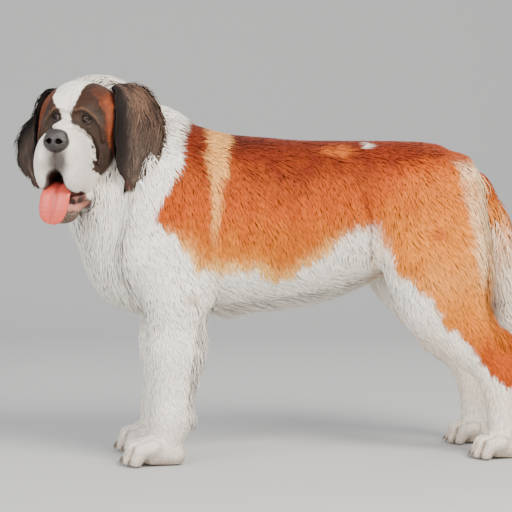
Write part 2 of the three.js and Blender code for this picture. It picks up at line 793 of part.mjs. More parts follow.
// Tongue: it lies on the jaw, comes out over the lower lip and hangs to the right of the chin.
function tongueRings() {
  const middle = [
    [64, 0, -158], [104, 0, -156], [134, -1, -158], [153, -4, -177], [157, -7, -204], [155, -12, -230],
    [153, -14, -241],
  ];
  const halfWide = [20, 24, 28, 32, 32, 25, 11];
  const halfThick = [6, 6.5, 7, 7, 6, 4.5, 3];
  const section = [
    [-1, 0], [-0.8, 0.8], [-0.35, 1], [0, 0.25], [0.35, 1], [0.8, 0.8], [1, 0],
    [0.75, -0.8], [0, -1], [-0.75, -0.8],
  ];
  const steps = 10;
  const rings = [];
  for (let k = 0; k <= steps; k += 1) {
    const t = k / steps;
    const at = along(middle, t);
    const on = headingAlong(middle, t);
    const across = new THREE.Vector3(0, 1, 0).addScaledVector(on, -on.y).normalize();
    const top = new THREE.Vector3().crossVectors(on, across).normalize();
    const [wide, thick] = [between(halfWide, t), between(halfThick, t)];
    rings.push(section.map(([p, q]) => at.clone().addScaledVector(across, p * wide)
      .addScaledVector(top, q * thick).applyMatrix4(headFrame)));
  }
  return rings;
}

// Ears: a flap that leaves the side of the skull, folds down and hangs, hollow on its inner face. The
// left one is pushed forward by the turned neck.
const EAR = {
  out: { 1: [68, 98, 121, 133, 133, 128, 127], "-1": [72, 90, 102, 111, 120, 116, 100] },
  up: { 1: [66, 54, 20, -22, -69, -113, -140], "-1": [50, 42, 16, -22, -69, -113, -146] },
  ahead: { 1: [4, 8, 14, 24, 32, 38, 42], "-1": [-14, -16, -16, -10, 0, 10, 18] },
  halfWide: [18, 36, 46, 50, 47, 32, 10],
  bow: [2, 8, 14, 20, 18, 12, 3],
  thick: [16, 18, 16, 15, 14, 11, 5],
  turn: { 1: [50, 54, 58, 60, 60, 60, 60], "-1": [10, 10, 14, 25, 40, 48, 50] },
  long: 236,
};

// The middle of a flap at a place along it, the way back across it, and the way out from its outer face.
// Past its end it goes straight on.
function flapAt(side, t) {
  const middle = EAR.out[side].map((out, k) => [EAR.ahead[side][k], out * side, EAR.up[side][k]]);
  const held = Math.min(t, 1);
  const on = headingAlong(middle, held);
  const at = along(middle, held).addScaledVector(on, (t - held) * EAR.long);
  const turn = THREE.MathUtils.degToRad(between(EAR.turn[side], held));
  const back = new THREE.Vector3(-Math.cos(turn), side * Math.sin(turn), 0);
  back.addScaledVector(on, -on.dot(back)).normalize();
  const out = new THREE.Vector3().crossVectors(back, on).multiplyScalar(side).normalize();
  return { at, back, out, held };
}

// A place across a flap, from its front edge at -1 to its back edge at 1, at a level over its middle.
function flapFace({ at, back, out, held }, a, level) {
  return at.clone().addScaledVector(back, a * between(EAR.halfWide, held))
    .addScaledVector(out, between(EAR.bow, held) * (0.5 - a * a) + level);
}

function earRings(side) {
  const steps = 10;
  const rings = [];
  for (let k = 0; k <= steps; k += 1) {
    const flap = flapAt(side, k / steps);
    const thick = between(EAR.thick, k / steps);
    const outer = [-1, -0.6, 0, 0.6, 1].map((a) => flapFace(flap, a, thick * 0.5 * (1 - 0.6 * a * a)));
    const inner = [0.6, 0, -0.6].map((a) => flapFace(flap, a, -thick * 0.5));
    rings.push([...outer, ...inner].map((place) => place.applyMatrix4(headFrame)));
  }
  return rings;
}

// Wavy hair on a flap: locks that run down its outer face and past its edges.
const EAR_LOCKS = [[0.4, 0.3], [0.5, 0.85], [0.6, -0.5], [0.7, 0.7], [0.84, -0.1]];

function earLock(side, t, a) {
  const long = vary(0.34, 0.4);
  const sway = vary(-0.12, 0.12);
  const path = [];
  const outs = [];
  for (let k = 0; k <= LOCK_STEPS; k += 1) {
    const share = k / LOCK_STEPS;
    const flap = flapAt(side, t + share * long);
    const level = k === 0 ? -3 : 11 + 3 * share;
    const spread = a + Math.sign(a) * share * 0.25 + sway * Math.sin(share * 5);
    path.push(flapFace(flap, spread, level).applyMatrix4(headFrame));
    const out = flap.out.clone().addScaledVector(flap.back, 0.7 * spread).normalize();
    outs.push(out.transformDirection(headFrame));
  }
  return blade(path, outs, 32, 9);
}

{
  nodes.tongue = loft(tongueRings());
  for (const [name, side] of [["ear_left", 1], ["ear_right", -1]]) {
    nodes[name] = loft(earRings(side));
    grownLocks[name] = EAR_LOCKS.map(([t, a]) => earLock(side, t, a));
  }
}

// Tail.
{
  const halfway = [[575, 0, 495], [0.2, 0, -1]];
  const cell = [26, 24, 38];
  nodes.tail_root = within(wrap(tailCore, [400, -80, 420], [680, 80, 760], cell), flip(halfway));
  nodes.tail_plume = within(wrap(tailCore, [480, -90, 180], [700, 90, 560], cell), halfway);
}

// Ruff: rows of locks round the neck that lie down and back over the shoulders, and rows that hang down
// the forechest.
{
  const lieOnNeck = () => [0.62, 0, -0.78];
  const rows = [
    { at: [-338, 0, 728], turn: 0, count: 6 },
    { at: [-292, 0, 676], turn: 0.5, count: 7 },
  ];
  const axis = new THREE.Vector3(-0.763, 0, 0.646);
  const side = new THREE.Vector3(0, 1, 0);
  const down = new THREE.Vector3().crossVectors(axis, side).normalize();
  for (const { at, turn, count } of rows) {
    const starts = [];
    for (let k = 0; k < count; k += 1) {
      const angle = ((k + turn) / count) * 2 * Math.PI;
      const heading = down.clone().multiplyScalar(Math.cos(angle)).addScaledVector(side, Math.sin(angle));
      starts.push(castOut(core, at, heading.toArray()));
    }
    const clear = starts.filter((start) => pastPlane(planes.headBase, start) < -24);
    growLocks("neck", coat, clear, lieOnNeck, { length: 112, wide: 84, thick: 17, lift: 3 });
  }
  const heights = [
    { node: "neck", z: 545, angles: [-46, 0, 46] },
    { node: "chest", z: 436, angles: [-44, 0, 44] },
    { node: "chest", z: 388, angles: [-22, 22] },
  ];
  for (const { node, z, angles } of heights) {
    const starts = angles.map((angle) => {
      const turned = THREE.MathUtils.degToRad(angle);
      return castOut(core, [-270, 0, z], [-Math.cos(turned), Math.sin(turned), 0]);
    });
    growLocks(node, coat, starts, () => [0.15, 0, -1], { length: 104, wide: 88, thick: 16, lift: 4 });
  }
}

// Fringe below the chest and belly.
{
  const under = (x, y) => castOut(core, [x, y * 0.5, 480], [0, y * 0.5, -150]);
  const lie = () => [0.95, 0, -0.3];
  const size = { length: 92, wide: 60, thick: 13, lift: 0, fall: [6, 0, -11] };
  const chestRow = [under(-120, 0), under(-94, 30), under(-94, -30)];
  growLocks("chest", coat, chestRow, lie, { ...size, length: 60 });
  const starts = [];
  for (const x of [-50, 35, 120]) {
    for (const y of [-1, 0, 1]) {
      starts.push(under(x + (y === 0 ? 24 : 0), y * 62));
    }
  }
  growLocks("barrel", coat, starts, lie, size);
}

// Feathering down the back of the forelegs, breeches on the thighs, and the backs of the shanks.
for (const [name, side] of [["left", -1], ["right", 1]]) {
  const y = side * FORELEG_OUT;
  const elbows = [322, 272, 222, 174].map((z, k) =>
    castOut(core, [-196, y, z], [1, (k % 2 ? 0.35 : -0.25) * side, 0]));
  growLocks(`foreleg_${name}`, coat, elbows, () => [0.25, 0, -1], {
    length: 82, wide: 36, thick: 12, lift: 0, fall: [10, 0, -4],
  });
  const breeches = [];
  for (const z of [590, 512, 436]) {
    for (const spread of [-0.35, 0.55]) {
      breeches.push(castOut(core, [440, side * 95, z + (spread > 0 ? 0 : -26)], [1, side * spread, 0]));
    }
  }
  growLocks(`thigh_${name}`, coat, breeches, () => [0.2, 0, -1], {
    length: 118, wide: 60, thick: 15, lift: 0, fall: [10, 0, -6],
  });
  const backs = [[470, 318], [496, 275]].map(([x, z]) =>
    castOut(core, [x, side * HINDLEG_OUT, z], [1, 0, 0]));
  growLocks(`shank_${name}`, coat, backs, () => [0.45, 0, -0.9], {
    length: 62, wide: 30, thick: 11, lift: 5, fall: [8, 0, -4],
  });
}

// Plume: locks round the tail that point down it and stand off, longest below.
{
  const rings = [
    { node: "tail_root", at: [530, 0, 610], angles: [-80, 0, 80], length: 90 },
    { node: "tail_root", at: [560, 0, 548], angles: [-130, -50, 50, 130], length: 70 },
    { node: "tail_plume", at: [584, 0, 468], angles: [-120, 0, 120], length: 120 },
    { node: "tail_plume", at: [594, 0, 404], angles: [-60, 60, 180], length: 115 },
    { node: "tail_plume", at: [602, 0, 338], angles: [-120, 0, 120], length: 115 },
  ];
  for (const { node, at, angles, length } of rings) {
    const starts = angles.map((angle) => {
      const turned = THREE.MathUtils.degToRad(angle);
      return castOut(tailCore, at, [Math.cos(turned), Math.sin(turned), 0]);
    });
    growLocks(node, tailCoat, starts, () => [0.14, 0, -1], { length, wide: 58, thick: 15, lift: 2 });
  }
}

// Claws: a short bent cone on each toe that points forward and down and ends above the floor.
function claw(centreX, y, size, out) {
  const place = placeOnPaw(centreX, y, size);
  const short = toeShort(out);
  const middle = [[70, 24], [86, 19], [97, 8]].map(([ahead, up]) =>
    vector(place(ahead - short, out * 1.1, up)));
  const corners = [0, 1, 2].map((k) => (k / 3) * 2 * Math.PI);
  const ring = (at, radius) => corners.map((turn) =>
    at.clone().add(vector([0, Math.sin(turn) * radius * 0.8, Math.cos(turn) * radius])));
  return loft([ring(middle[0], 6 * size), ring(middle[1], 5 * size), [middle[2]]]);
}

for (const [name, side] of [["left", -1], ["right", 1]]) {
  grownLocks[`forepaw_${name}`] = TOE_OUT.map((out) => claw(FOREPAW_X, side * FORELEG_OUT, 1, out));
  grownLocks[`hindpaw_${name}`] = TOE_OUT.map((out) =>
    claw(HINDPAW_X, side * HINDLEG_OUT, HINDPAW_SIZE, out));
}

// Joins each node with its locks. Where a node or its locks hang over another, that one is cut clear.
const bare = { ...nodes };
for (const [name, locks] of Object.entries(grownLocks)) {
  nodes[name] = wasm.Manifold.union([nodes[name], ...locks]);
}
nodes.chest = within(nodes.chest, flip(planes.neckBase));

const OVERHANG_GAP = 2.2 * GAP;
const OVERHUNG = {
  chest: ["barrel"],
  thigh_left: ["shank_left"],
  thigh_right: ["shank_right"],
  neck: ["chest"],
  tail_root: ["tail_plume", "rump", "thigh_left", "thigh_right"],
  tail_plume: ["thigh_left", "thigh_right"],
  nose: ["muzzle"],
  lower_jaw: ["muzzle", "head", "neck"],
  tongue: ["lower_jaw", "muzzle", "head"],
  ear_left: ["head", "neck", "chest"],
  ear_right: ["head", "neck"],
};
for (const [name, carriers] of Object.entries(OVERHUNG)) {
  const locks = grownLocks[name] ?? [];
  const nextTo = ["chest", "thigh_left", "thigh_right", "neck"].includes(name);
  const rooms = nextTo ? locks : [bare[name], ...locks];
  const room = wasm.Manifold.union(rooms.map((one) => grown(one, OVERHANG_GAP)));
  for (const carrier of carriers) {
    nodes[carrier] = largest(nodes[carrier].subtract(room));
  }
}

// Looks: white, orange, mahogany and black coat, nose, tongue and eyes.
const finish = (color, roughness) => ({ color, roughness, metalness: 0 });
const WHITE = finish(0xe9e2d6, 0.85);
const ORANGE = finish(0xb2602a, 0.8);
const FINISHES = {
  barrel: ORANGE, rump: ORANGE, thigh_left: ORANGE, thigh_right: ORANGE, tail_root: ORANGE,
  shank_left: finish(0xd9a878, 0.85), shank_right: finish(0xd9a878, 0.85),
  head: finish(0x3a2720, 0.85), ear_left: finish(0x2a201d, 0.85), ear_right: finish(0x2a201d, 0.85),
  nose: finish(0x3b3a3b, 0.4), tongue: finish(0xe08a86, 0.35), lower_jaw: finish(0xd8c6b4, 0.7),
  eye_left: finish(0x2b170e, 0.1), eye_right: finish(0x2b170e, 0.1),
};

const group = new THREE.Group();
const figure = new THREE.Box3();
for (const [name, whole] of Object.entries(nodes)) {
  const mesh = largest(whole).getMesh();
  const geometry = new THREE.BufferGeometry();
  geometry.setAttribute("position", new THREE.BufferAttribute(new Float32Array(mesh.vertProperties), 3));
  geometry.setIndex(new THREE.BufferAttribute(new Uint32Array(mesh.triVerts), 1));
  geometry.computeBoundingBox();
  figure.union(geometry.boundingBox);
  const piece = new THREE.Mesh(geometry, new THREE.MeshStandardMaterial(FINISHES[name] ?? WHITE));
  piece.name = name;
  group.add(piece);
}
const centre = figure.getCenter(new THREE.Vector3());
group.position.set(-centre.x, -centre.y, -figure.min.z);

export default group;
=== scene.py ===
"""A life-size long-haired Saint Bernard that stands square with its head turned to its left.

The skin is wrapped round soft shapes given in the body's frame in millimetres, the same numbers that the
solids are built from. The coat is made of thin tapered tufts that grow on that skin along its lie. A shape is
a function that gives the distance of places from a surface, below zero inside.
"""
import math
import bpy
import numpy as np
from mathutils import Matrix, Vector


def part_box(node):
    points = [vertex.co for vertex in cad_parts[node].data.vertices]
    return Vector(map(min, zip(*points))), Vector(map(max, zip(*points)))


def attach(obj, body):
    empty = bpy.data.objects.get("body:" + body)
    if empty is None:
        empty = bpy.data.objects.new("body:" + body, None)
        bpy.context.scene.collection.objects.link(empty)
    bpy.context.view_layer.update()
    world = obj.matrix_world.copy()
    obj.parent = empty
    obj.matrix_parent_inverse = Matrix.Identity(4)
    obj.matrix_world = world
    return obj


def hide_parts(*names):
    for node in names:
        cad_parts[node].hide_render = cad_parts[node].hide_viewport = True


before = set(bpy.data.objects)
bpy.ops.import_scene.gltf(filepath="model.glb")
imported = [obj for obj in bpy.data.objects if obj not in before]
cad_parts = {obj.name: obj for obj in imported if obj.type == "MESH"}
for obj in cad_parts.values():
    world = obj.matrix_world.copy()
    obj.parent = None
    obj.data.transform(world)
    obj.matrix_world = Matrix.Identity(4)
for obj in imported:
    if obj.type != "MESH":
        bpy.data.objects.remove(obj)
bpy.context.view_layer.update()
RNG = np.random.default_rng(11)

# Driving dimensions. A row of the trunk is x, top, bottom and half width.
TRUNK = np.array([
    [-270, 700, 372, 128], [-200, 738, 338, 158], [-129, 748, 324, 168], [-58, 739, 319, 170],
    [9, 733, 330, 168], [102, 726, 338, 164], [165, 725, 358, 158], [208, 725, 374, 150],
    [255, 725, 397, 143], [337, 724, 440, 133], [423, 717, 488, 122], [453, 701, 528, 106]], float)
KEEL = 0.14
FORELEG_OUT, HINDLEG_OUT = 110, 118
ELBOW, WRIST, STIFLE, HOCK = (-188, 372), (-207, 106), (430, 355), (548, 183)
STIFLE_STEP = 14
FOREPAW_X, HINDPAW_X = -222, 563
FOREPAW_SIZE, HINDPAW_SIZE = 1.0, 0.9
FOREPAW_HEEL, HINDPAW_HEEL = 22, 3
TOE_OUT = (-37, -13, 13, 37)
TOE_GROOVES = (-25, 0, 25)
SKULL = np.array([-393.0, -52, 778])
FACE_TURN, HEAD_TILT = math.radians(20), math.radians(4)
EYE_AHEAD, EYE_OUT, EYE_UP, EYE_RADIUS = 79, 30, -12, 12.5
NOSE_AHEAD, NOSE_UP = 186, -65
FACE_COAT, TAIL_COAT = 2.0, 21
SIDES = (("left", 1), ("right", -1))


def smooth(t):
    """A soft step from 0 to 1 while t goes from 0 to 1."""
    t = np.clip(t, 0, 1)
    return t * t * (3 - 2 * t)


def above(value, start, span):
    """A soft step from 0 at the start to 1 a span further up."""
    return smooth((value - start) / span)


def below(value, end, span):
    """A soft step from 1 a span under the end to 0 at the end."""
    return smooth((end - value) / span)


def size_of(v):
    return np.sqrt((v * v).sum(-1))


def unit(v):
    return v / np.maximum(np.sqrt((v * v).sum(-1, keepdims=True)), 1e-9)


def turns(count):
    return np.arange(count) * 2 * math.pi / count


def bell(value, wide):
    return np.exp(-(value / wide) ** 2)


def line_distance(a, b, line):
    """Distance in one view to a line through places."""
    near = np.full(len(a), np.inf)
    for (a0, b0), (a1, b1) in zip(line[:-1], line[1:]):
        da, db = a1 - a0, b1 - b0
        t = np.clip(((a - a0) * da + (b - b0) * db) / (da ** 2 + db ** 2), 0, 1)
        near = np.minimum(near, np.hypot(a - a0 - t * da, b - b0 - t * db))
    return near


def outline_distance(a, b, corners):
    """Distance in one view to a closed outline, below zero inside."""
    closed = corners + corners[:1]
    inside = np.zeros(len(a), bool)
    for (a0, b0), (a1, b1) in zip(closed[:-1], closed[1:]):
        if b0 != b1:
            inside ^= ((b0 > b) != (b1 > b)) & (a < a0 + (b - b0) * (a1 - a0) / (b1 - b0))
    near = line_distance(a, b, closed)
    return np.where(inside, -near, near)


def oval(a, b, middle, half):
    """How far out places are from the middle of an oval, 1 at its edge."""
    return np.hypot((a - middle[0]) / half[0], (b - middle[1]) / half[1])


def ball(centre, radii):
    centre, radii = np.array(centre, float), np.array(radii, float)

    def shape(p):
        q = (p - centre) / radii
        far = size_of(q)
        return far * (far - 1) / np.maximum(size_of(q / radii), 1e-6)
    return shape


def limb(a, b, ra, rb, wide=1.0):
    """A round-ended cone from a to b, made narrower or wider across the body."""
    a, b = np.array(a, float), np.array(b, float)
    squeeze = np.array([1, 1 / wide, 1])
    along = (b - a) * squeeze
    length2 = along @ along

    def shape(p):
        q = (p - a) * squeeze
        t = np.clip(q @ along / length2, 0, 1)
        return (size_of(q - t[:, None] * along) - (ra + (rb - ra) * t)) * min(1, math.sqrt(wide))
    return shape


def merge(near, other, soft):
    meet = np.maximum(soft - np.abs(near - other), 0) / soft
    return np.minimum(near, other) - meet * meet * soft / 4


def blend(soft, *shapes):
    def shape(p):
        near = shapes[0](p)
        for other in shapes[1:]:
            near = merge(near, other(p), soft)
        return near
    return shape


def chain(soft, wide, *stops):
    """Limbs one after the other through stops of (place, radius)."""
    return blend(soft, *(limb(a, b, ra, rb, wide) for (a, ra), (b, rb) in zip(stops[:-1], stops[1:])))


def both(shape_of):
    return [shape_of(1), shape_of(-1)]


def stationed(column, x):
    """A column of the trunk's table at places between its stations."""
    stations, values = TRUNK[:, 0], TRUNK[:, column]
    n = len(stations)
    before, after = np.maximum(np.arange(n) - 1, 0), np.minimum(np.arange(n) + 1, n - 1)
    slopes = (values[after] - values[before]) / (stations[after] - stations[before])
    k = np.clip(np.searchsorted(stations, x, side="right") - 1, 0, n - 2)
    span = stations[k + 1] - stations[k]
    t = np.clip((x - stations[k]) / span, 0, 1)
    t2, t3 = t * t, t * t * t
    return ((2 * t3 - 3 * t2 + 1) * values[k] + (t3 - 2 * t2 + t) * span * slopes[k]
            + (3 * t2 - 2 * t3) * values[k + 1] + (t3 - t2) * span * slopes[k + 1])


def trunk(p):
    x, y, z = p.T
    near = np.clip(x, TRUNK[0, 0], TRUNK[-1, 0])
    top, bottom = stationed(1, near), stationed(2, near)
    middle, high = (top + bottom) / 2, (top - bottom) / 2
    up = np.clip((z - middle) / high, -1.4, 1.4)
    wide = stationed(3, near) * (1 + KEEL * up * np.where(up < 0, 1, 0.25))
    size = np.minimum(high, wide)
    return np.hypot(x - near, np.hypot((z - middle) / high, y / wide) * size) - size


def foreleg(side):
    y = side * FORELEG_OUT
    elbow = [ELBOW[0], side * 114, ELBOW[1]]
    return blend(30, limb([-240, side * 104, 460], elbow, 82, 72, 0.8),
                 limb(elbow, [-196, y, 255], 70, 59, 0.82),
                 limb([-196, y, 255], [WRIST[0], y, WRIST[1]], 59, 43, 0.92),
                 limb([WRIST[0], y, WRIST[1]], [FOREPAW_X, y, 46], 43, 38, 1))


def hindleg(side):
    y = side * HINDLEG_OUT
    stifle = [STIFLE[0] + side * STIFLE_STEP, side * 114, STIFLE[1]]
    return blend(34, limb([415, side * 92, 560], [405, side * 108, 440], 115, 125, 0.54),
                 limb([405, side * 108, 440], stifle, 120, 90, 0.54),
                 limb(stifle, [478, y, 276], 90, 62, 0.62),
                 limb([478, y, 276], [HOCK[0], y, HOCK[1]], 62, 43, 0.72),
                 limb([HOCK[0], y, HOCK[1]], [HINDPAW_X - 10, y, 60], 43, 35, 0.86),
                 limb([548, y, 275], [586, y, 202], 20, 18, 0.9))


shoulders = blend(50, trunk, ball([-280, 0, 470], [112, 130, 130]),
                  *both(lambda s: ball([-200, s * 112, 540], [95, 62, 155])))
neck = blend(50, chain(50, 0.84, ([-200, 0, 612], 140), ([-296, 0, 694], 128), ([-372, -18, 762], 97)),
             ball([-342, -12, 590], [94, 108, 126]))
body = blend(30, blend(46, shoulders, neck, *both(hindleg)), *both(foreleg))
tail = chain(24, 0.95, ([448, 0, 662], 28), ([511, 0, 614], 36), ([547, 0, 546], 43), ([577, 0, 468], 48),
             ([596, 0, 385], 50), ([604, 0, 305], 44), ([614, 0, 238], 16))


def toe_short(out):
    return 14 if abs(out) > 20 else 0


def on_paw(centre_x, y, size, ahead, out, up):
    return [centre_x - ahead * size, y + out * size, up * size]


def paw(centre_x, y, size, heel):
    def at(ahead, out, up):
        return on_paw(centre_x, y, size, ahead, out, up)
    toes = []
    for out in TOE_OUT:
        short = toe_short(out)
        toes.append(blend(
            6, limb(at(40 - short, out, 44), at(66 - short, out * 1.06, 38), 16 * size, 16.5 * size),
            limb(at(66 - short, out * 1.06, 36), at(79 - short, out * 1.08, 14), 16.5 * size, 14 * size)))
    back = limb(at(-heel, 0, 24), at(24, 0, 34), 27 * size, 36 * size, 1.28)
    return blend(12, back, blend(4, *toes))


PAWS = [(x, s * out, size, heel) for x, out, size, heel in (
    (FOREPAW_X, FORELEG_OUT, FOREPAW_SIZE, FOREPAW_HEEL),
    (HINDPAW_X, HINDLEG_OUT, HINDPAW_SIZE, HINDPAW_HEEL)) for s in (-1, 1)]
paw_shapes = [paw(*row) for row in PAWS]


def toe_grooves(p):
    """How far a place is down in a groove between two toes, from 0 to 1."""
    x, y, z = p.T
    deep = np.zeros(len(p))
    for centre_x, centre_y, size, _ in PAWS:
        ahead, out = (centre_x - x) / size, (y - centre_y) / size
        on_toes = above(ahead, 34, 18), below(ahead, 110, 10), below(z, 70, 12)
        for groove in TOE_GROOVES:
            line = bell(out - groove * (1 + 0.0012 * ahead), 4.2)
            deep = np.maximum(deep, line * on_toes[0] * on_toes[1] * on_toes[2])
    return deep


# The head's own frame: ahead along the face, out to the dog's left, and up.
FACE = np.array([-math.sin(FACE_TURN), -math.cos(FACE_TURN), 0])
SIDEWAYS = np.array([math.cos(FACE_TURN), -math.sin(FACE_TURN), 0])
UP = np.array([0.0, 0, 1])
tilt_cos, tilt_sin = math.cos(-HEAD_TILT), math.sin(-HEAD_TILT)
HEAD_AXES = np.array([FACE, SIDEWAYS * tilt_cos + UP * tilt_sin, UP * tilt_cos - SIDEWAYS * tilt_sin])


def on_head(q):
    return SKULL + np.asarray(q, float) @ HEAD_AXES


def to_head(p):
    return (p - SKULL) @ HEAD_AXES.T


upper_head = blend(
    16,
    blend(34, ball([2, 0, 0], [98, 92, 71]), limb([-30, 0, -20], [0, 0, -95], 84, 70, 1.02),
          *both(lambda s: ball([22, s * 54, -66], [60, 38, 74]))),
    *both(lambda s: ball([74, s * 37, 15], [22, 25, 19])),
    limb([80, 0, -40], [164, 0, -68], 36, 31, 1),
    ball([164, 0, -98], [22, 34, 34]),
    *both(lambda s: ball([136, s * 29, -108], [59, 30, 66])),
    *both(lambda s: ball([84, s * 40, -118], [44, 22, 54])))
lower_lip = both(lambda s: blend(6, limb([139, 0, -188], [124, s * 26, -187], 8, 8),
                                 limb([124, s * 26, -187], [70, s * 45, -178], 8, 10)))
jaw = blend(8, blend(20, limb([6, 0, -138], [104, 0, -204], 60, 31, 1),
                     ball([114, 0, -212], [28, 31, 24])), *lower_lip)
mouth = blend(16, limb([50, 0, -150], [204, 0, -149], 24, 22, 0.8),
              limb([56, 0, -196], [204, 0, -200], 42, 40, 1.06))
nose = blend(10, ball([NOSE_AHEAD, 0, NOSE_UP], [19, 28, 22]),
             ball([NOSE_AHEAD - 2, 0, NOSE_UP + 16], [14, 22, 12]))


def whole_head(q):
    return np.minimum(upper_head(q), jaw(q))


def face_share(p, q):
    """How far a place is on the head rather than on the body, from 0 to 1."""
    return smooth(0.5 + (body(p) - whole_head(q)) / 16)


# Folds on each side of the face: a line of places out and up, with height and width. The brow comes first.
FOLDS = [
    ([(10, 8), (24, 12), (38, 8), (54, -7), (67, -27), (71, -52)], 6.0, 6.0),
    ([(12, -24), (34, -32), (54, -49), (67, -76), (68, -104)], 4.2, 4.6),
    ([(20, -37), (40, -48), (54, -66), (59, -98)], -3.2, 3.6),
    ([(66, -8), (74, -40), (74, -84), (64, -120)], 3.6, 5.5),
    ([(58, 30), (70, 0), (76, -36)], -2.2, 4.5),
    ([(16, 44), (34, 46), (48, 34)], 1.8, 5.0),
]
# The fold between flank and thigh, seen from the side.
FLANK_FOLD = [(232, 585), (246, 520), (248, 450), (262, 398)]
# Where the coat is long, in order the ruff, breeches, belly and elbow: depth, shape and how far out it fades.
LONG_COAT = [
    (21, limb([-330, -10, 745], [-345, 0, 450], 100, 95), 80),
    (21, limb([560, 0, 600], [560, 0, 340], 70, 60, 2.2), 50),
    (14, limb([-110, 0, 315], [240, 0, 372], 30, 20, 2.6), 40),
    (15, limb([-120, 0, 320], [-150, 0, 130], 26, 18, 6), 24),
]


def long_shares(p):
    return [smooth(1 - over(p) / fade) for _, over, fade in LONG_COAT]


def coat_depth(p):
    """How far the skin lies inside the tips of the coat."""
    depth = 2.5 + 5 * above(p[:, 2], 260, 160)
    for (deep, _, _), share in zip(LONG_COAT, long_shares(p)):
        depth = np.maximum(depth, deep * share)
    return depth


def wrinkles(q):
    """Heights of the folds over the face, with the furrow of the forehead and the groove of the lip."""
    f, l, u = q.T
    side = np.abs(l)
    total = -2.2 * bell(l, 4.5) * above(u, -30, 20) * below(u, 64, 30)
    for line, high, wide in FOLDS:
        total += high * bell(line_distance(side, u, line), wide)
    total *= above(f, 22, 30)
    return total - 3.0 * bell(l, 2.6) * above(f, 150, 16) * below(u, -80, 8)


def head_skin(p):
    q = to_head(p)
    top = upper_head(q) + FACE_COAT - wrinkles(q)
    for side in (1, -1):
        socket = size_of(q - np.array([EYE_AHEAD + 2, side * EYE_OUT, EYE_UP])) - (EYE_RADIUS + 0.4)
        top = -merge(-top, socket, 3)
    return merge(np.maximum(top, -mouth(q)), jaw(q) + FACE_COAT * 0.5, 4)


def tail_skin(p):
    return tail(p) + 6 + (TAIL_COAT - 6) * np.clip((p[:, 0] - 500) / 60, 0, 1)


def skin(p):
    """The skin of the whole dog, inside the coat, with its soles on the floor."""
    fold = bell(line_distance(p[:, 0], p[:, 2], FLANK_FOLD), 9)
    whole = body(p) + coat_depth(p) + 6 * fold * above(np.abs(p[:, 1]), 60, 30)
    whole = merge(whole, head_skin(p), 26)
    whole = merge(whole, tail_skin(p), 14)
    low = p[:, 2] < 140
    if low.any():
        part = whole[low]
        for shape in paw_shapes:
            part = merge(part, shape(p[low]) + 1.5, 10)
        whole[low] = part + 6.5 * toe_grooves(p[low])
    return np.maximum(whole, 0.6 - p[:, 2])


def slope(shape, p, step=0.6):
    """The way out of a shape and its steepness, from four samples round each place."""
    total = np.zeros_like(p)
    for corner in np.array([[1, -1, -1], [-1, -1, 1], [-1, 1, -1], [1, 1, 1]], float):
        total += shape(p + corner * step)[:, None] * corner
    return total / (4 * step)


def settle(shape, p, rounds, limit):
    """Places moved onto a shape's surface, none further than the limit."""
    start = p.copy()
    for _ in range(rounds):
        g = slope(shape, p)
        moved = p - g * (shape(p) / np.maximum((g * g).sum(1), 0.1))[:, None] - start
        p = start + moved * np.minimum(1, limit / np.maximum(size_of(moved), 1e-6))[:, None]
    return p


CORNERS = [(0, 0, 0), (1, 0, 0), (0, 1, 0), (1, 1, 0), (0, 0, 1), (1, 0, 1), (0, 1, 1), (1, 1, 1)]
EDGES = [(a, b) for a in range(8) for b in range(a + 1, 8) if bin(a ^ b).count("1") == 1]


def corner_of(grid, corner, size):
    """One and the same corner of every cell of a grid."""
    a, b, c = corner
    return grid[a:a + size[0], b:b + size[1], c:c + size[2]]


def spread_out(blocks, times):
    for axis in range(3):
        blocks = np.repeat(blocks, times, axis)
    return blocks


def sampled(shape, low, high, cell, coarse):
    """Values of a shape on a grid, exact near its surface and rough elsewhere."""
    blocks = np.ceil((high - low) / (cell * coarse)).astype(int)
    axes = [low[k] + np.arange(blocks[k] + 1) * cell * coarse for k in range(3)]
    grid = np.stack(np.meshgrid(*axes, indexing="ij"), -1).reshape(-1, 3)
    rough = shape(grid).reshape(blocks + 1)
    least = np.full(blocks, np.inf)
    below_zero = np.zeros(blocks, int)
    for corner in CORNERS:
        part = corner_of(rough, corner, blocks)
        least = np.minimum(least, np.abs(part))
        below_zero += part < 0
    near = spread_out((least < cell * coarse * 1.25) | ((below_zero > 0) & (below_zero < 8)), coarse)
    value = np.pad(spread_out(rough[:-1, :-1, :-1], coarse), ((0, 1), (0, 1), (0, 1)), mode="edge")
    wanted = np.zeros(value.shape, bool)
    for corner in CORNERS:
        part = corner_of(wanted, corner, near.shape)
        part |= near
    where = np.argwhere(wanted)
    found = np.empty(len(where))
    for start in range(0, len(where), 200000):
        found[start:start + 200000] = shape(low + where[start:start + 200000] * cell)
    value[wanted] = found
    return value


